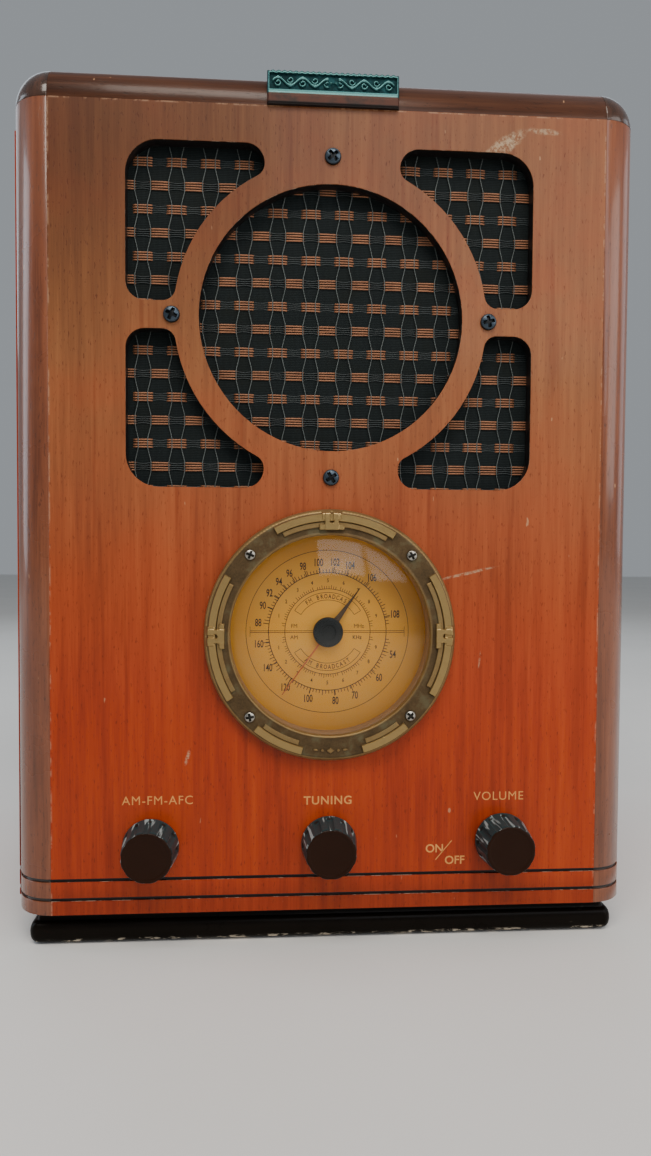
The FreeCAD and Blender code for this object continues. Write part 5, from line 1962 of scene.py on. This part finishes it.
@dataclass
class Works:
    """Inner pieces of the radio, each dressed by the slot that the record gives it."""

    def finishes(self) -> dict[str, Finish]:
        """Finish of every inner material slot.

        Returns:
            Finishes by the slot's name.
        """
        return {
            "steel": STEEL,
            "brass": Metal("turned_brass", (0.75, 0.56, 0.24), 0.25, brush=(1.0, 0.1, 1.0)),
            "grille_fabric": Plastic("cord_thread", (0.12, 0.10, 0.07), 0.8, 2400),
            "paper_cone": Plastic("paper_cone", (0.035, 0.034, 0.032), 0.9, 1900, 0.08 * MM),
            "foam": Plastic("foam", (0.028, 0.028, 0.030), 0.95, 1600, 0.15 * MM),
            "ferrite": Plastic("ferrite", (0.050, 0.050, 0.052), 0.6, 1200, 0.03 * MM),
            "clear_lens": Plastic("clear_part", (0.75, 0.76, 0.74), 0.1, 600),
            "black_plastic": BLACK_GLOSS,
            "white_plastic": Plastic("white_nylon", (0.78, 0.77, 0.73), 0.4, 700),
            "board_green": Plastic("circuit_board", (0.030, 0.150, 0.055), 0.35, 900, coat=0.4),
            "copper_winding": Metal("copper_wire", (0.66, 0.26, 0.10), 0.3, brush=(1.0, 0.05, 1.0)),
        }

    def build(self, done: set[str]) -> None:
        """Dress every CAD node that is still shown and not dressed yet.

        Args:
            done: names of the dressed nodes.
        """
        finishes = self.finishes()
        for name, piece in sorted(frame["nodes"].items()):
            if piece.hide_render or name in done:
                continue
            dress(name, finishes[NODE_SLOTS[name]])
            log.info("%s dressed for slot %s", name, NODE_SLOTS[name])


# ------------------------------------------------------------------ studio

@dataclass
class Studio:
    """Pale floor, soft lights and the camera."""

    spot: tuple = (-25.65, -405.2, 151.04)
    yaw: float = -4.217
    pitch: float = -2.1175
    roll: float = -0.342
    focal_part: float = 868.06 / 1156
    sensor: float = 36.0
    floor_reach: float = 4.0
    aim: tuple = (0.0, 0.0, 0.16)

    def build(self) -> None:
        """Set up the floor, the lights and the camera."""
        self.floor()
        self.world()
        self.soft_box("key", (-0.10, -0.90, 1.32), (1.0, 0.5), 18.0, (1.0, 0.93, 0.84))
        self.soft_box("fill", (0.95, -0.70, 0.55), (0.6, 0.8), 5.0, (1.0, 0.96, 0.92))
        for number, across in enumerate((0.15, 0.52)):
            self.soft_box(f"pane_{number}", (across, -1.0, 0.64), (0.33, 0.46), 1.3, (0.94, 0.96, 1.0))
        self.soft_box("window_back", (-0.1, 1.0, 0.85), (1.6, 0.8), 4.5, (0.80, 0.90, 1.0))
        self.soft_box("window_left", (-1.05, 0.05, 0.45), (0.4, 0.8), 3.6, (0.80, 0.90, 1.0))
        self.soft_box("window_right", (1.05, 0.10, 0.45), (0.4, 0.8), 1.4, (0.82, 0.91, 1.0))
        self.camera()

    def floor(self) -> None:
        """Wide pale floor, faintly mottled."""
        graph = Graph("pale_floor")
        cloud = graph.noise(graph.place(), 6, 4.0, 0.6)
        colour = graph.mix(cloud, (0.62, 0.61, 0.59), (0.70, 0.69, 0.67))
        material = graph.surface(Base_Color=colour, Roughness=0.75)
        mesh = bpy.data.meshes.new("floor")
        reach = self.floor_reach
        corners = [(-reach, -reach, 0), (reach, -reach, 0), (reach, reach, 0), (-reach, reach, 0)]
        mesh.from_pydata(corners, [], [(0, 1, 2, 3)])
        mesh.materials.append(material)
        floor = bpy.data.objects.new("floor", mesh)
        bpy.context.scene.collection.objects.link(floor)

    def world(self) -> None:
        """Even pale surroundings."""
        world = bpy.data.worlds.new("studio")
        world.use_nodes = True
        background = world.node_tree.nodes["Background"]
        background.inputs["Color"].default_value = (0.80, 0.86, 0.92, 1.0)
        background.inputs["Strength"].default_value = 0.36
        bpy.context.scene.world = world

    def soft_box(self, name: str, spot: tuple, size: tuple, power: float, colour: Colour) -> None:
        """Add a rectangular area light that faces the radio's middle.

        Args:
            name: the light's name.
            spot: its place in metres.
            size: its two sides.
            power: its power in watts.
            colour: its colour.
        """
        lamp = bpy.data.lights.new(name, "AREA")
        lamp.shape = "RECTANGLE"
        lamp.size, lamp.size_y = size
        lamp.energy = power
        lamp.color = colour
        holder = bpy.data.objects.new(name, lamp)
        holder.location = spot
        aim = Vector(self.aim) - Vector(spot)
        holder.rotation_euler = aim.to_track_quat("-Z", "Y").to_euler()
        bpy.context.scene.collection.objects.link(holder)

    def camera(self) -> None:
        """Set the camera at the viewing place."""
        data = bpy.data.cameras.new("camera")
        data.sensor_width = self.sensor
        data.lens = self.sensor * self.focal_part
        data.clip_start, data.clip_end = 0.01, 50.0
        holder = bpy.data.objects.new("camera", data)
        holder.location = Vector(self.spot) * MM
        turn = (Euler((0, 0, math.radians(self.yaw))).to_matrix()
                @ Euler((math.radians(self.pitch), 0, 0)).to_matrix()
                @ Euler((0, math.radians(self.roll), 0)).to_matrix()
                @ Euler((math.pi / 2, 0, 0)).to_matrix())
        holder.rotation_euler = turn.to_euler()
        bpy.context.scene.collection.objects.link(holder)
        bpy.context.scene.camera = holder


# ------------------------------------------------------------------ assembly

def main() -> None:
    """Build every sub-assembly in order."""
    logging.basicConfig(level=logging.INFO, format="%(name)s: %(message)s")
    Cabinet().build()
    Badge().build()
    Grille().build()
    Dial().build()
    for which, body in (("band", "band_rotor"), ("tuning", "tuning_train"), ("volume", "volume_rotor")):
        Knob(which, body).build()
    Works().build(DRESSED)
    Studio().build()


if __name__ == "__main__":
    main()
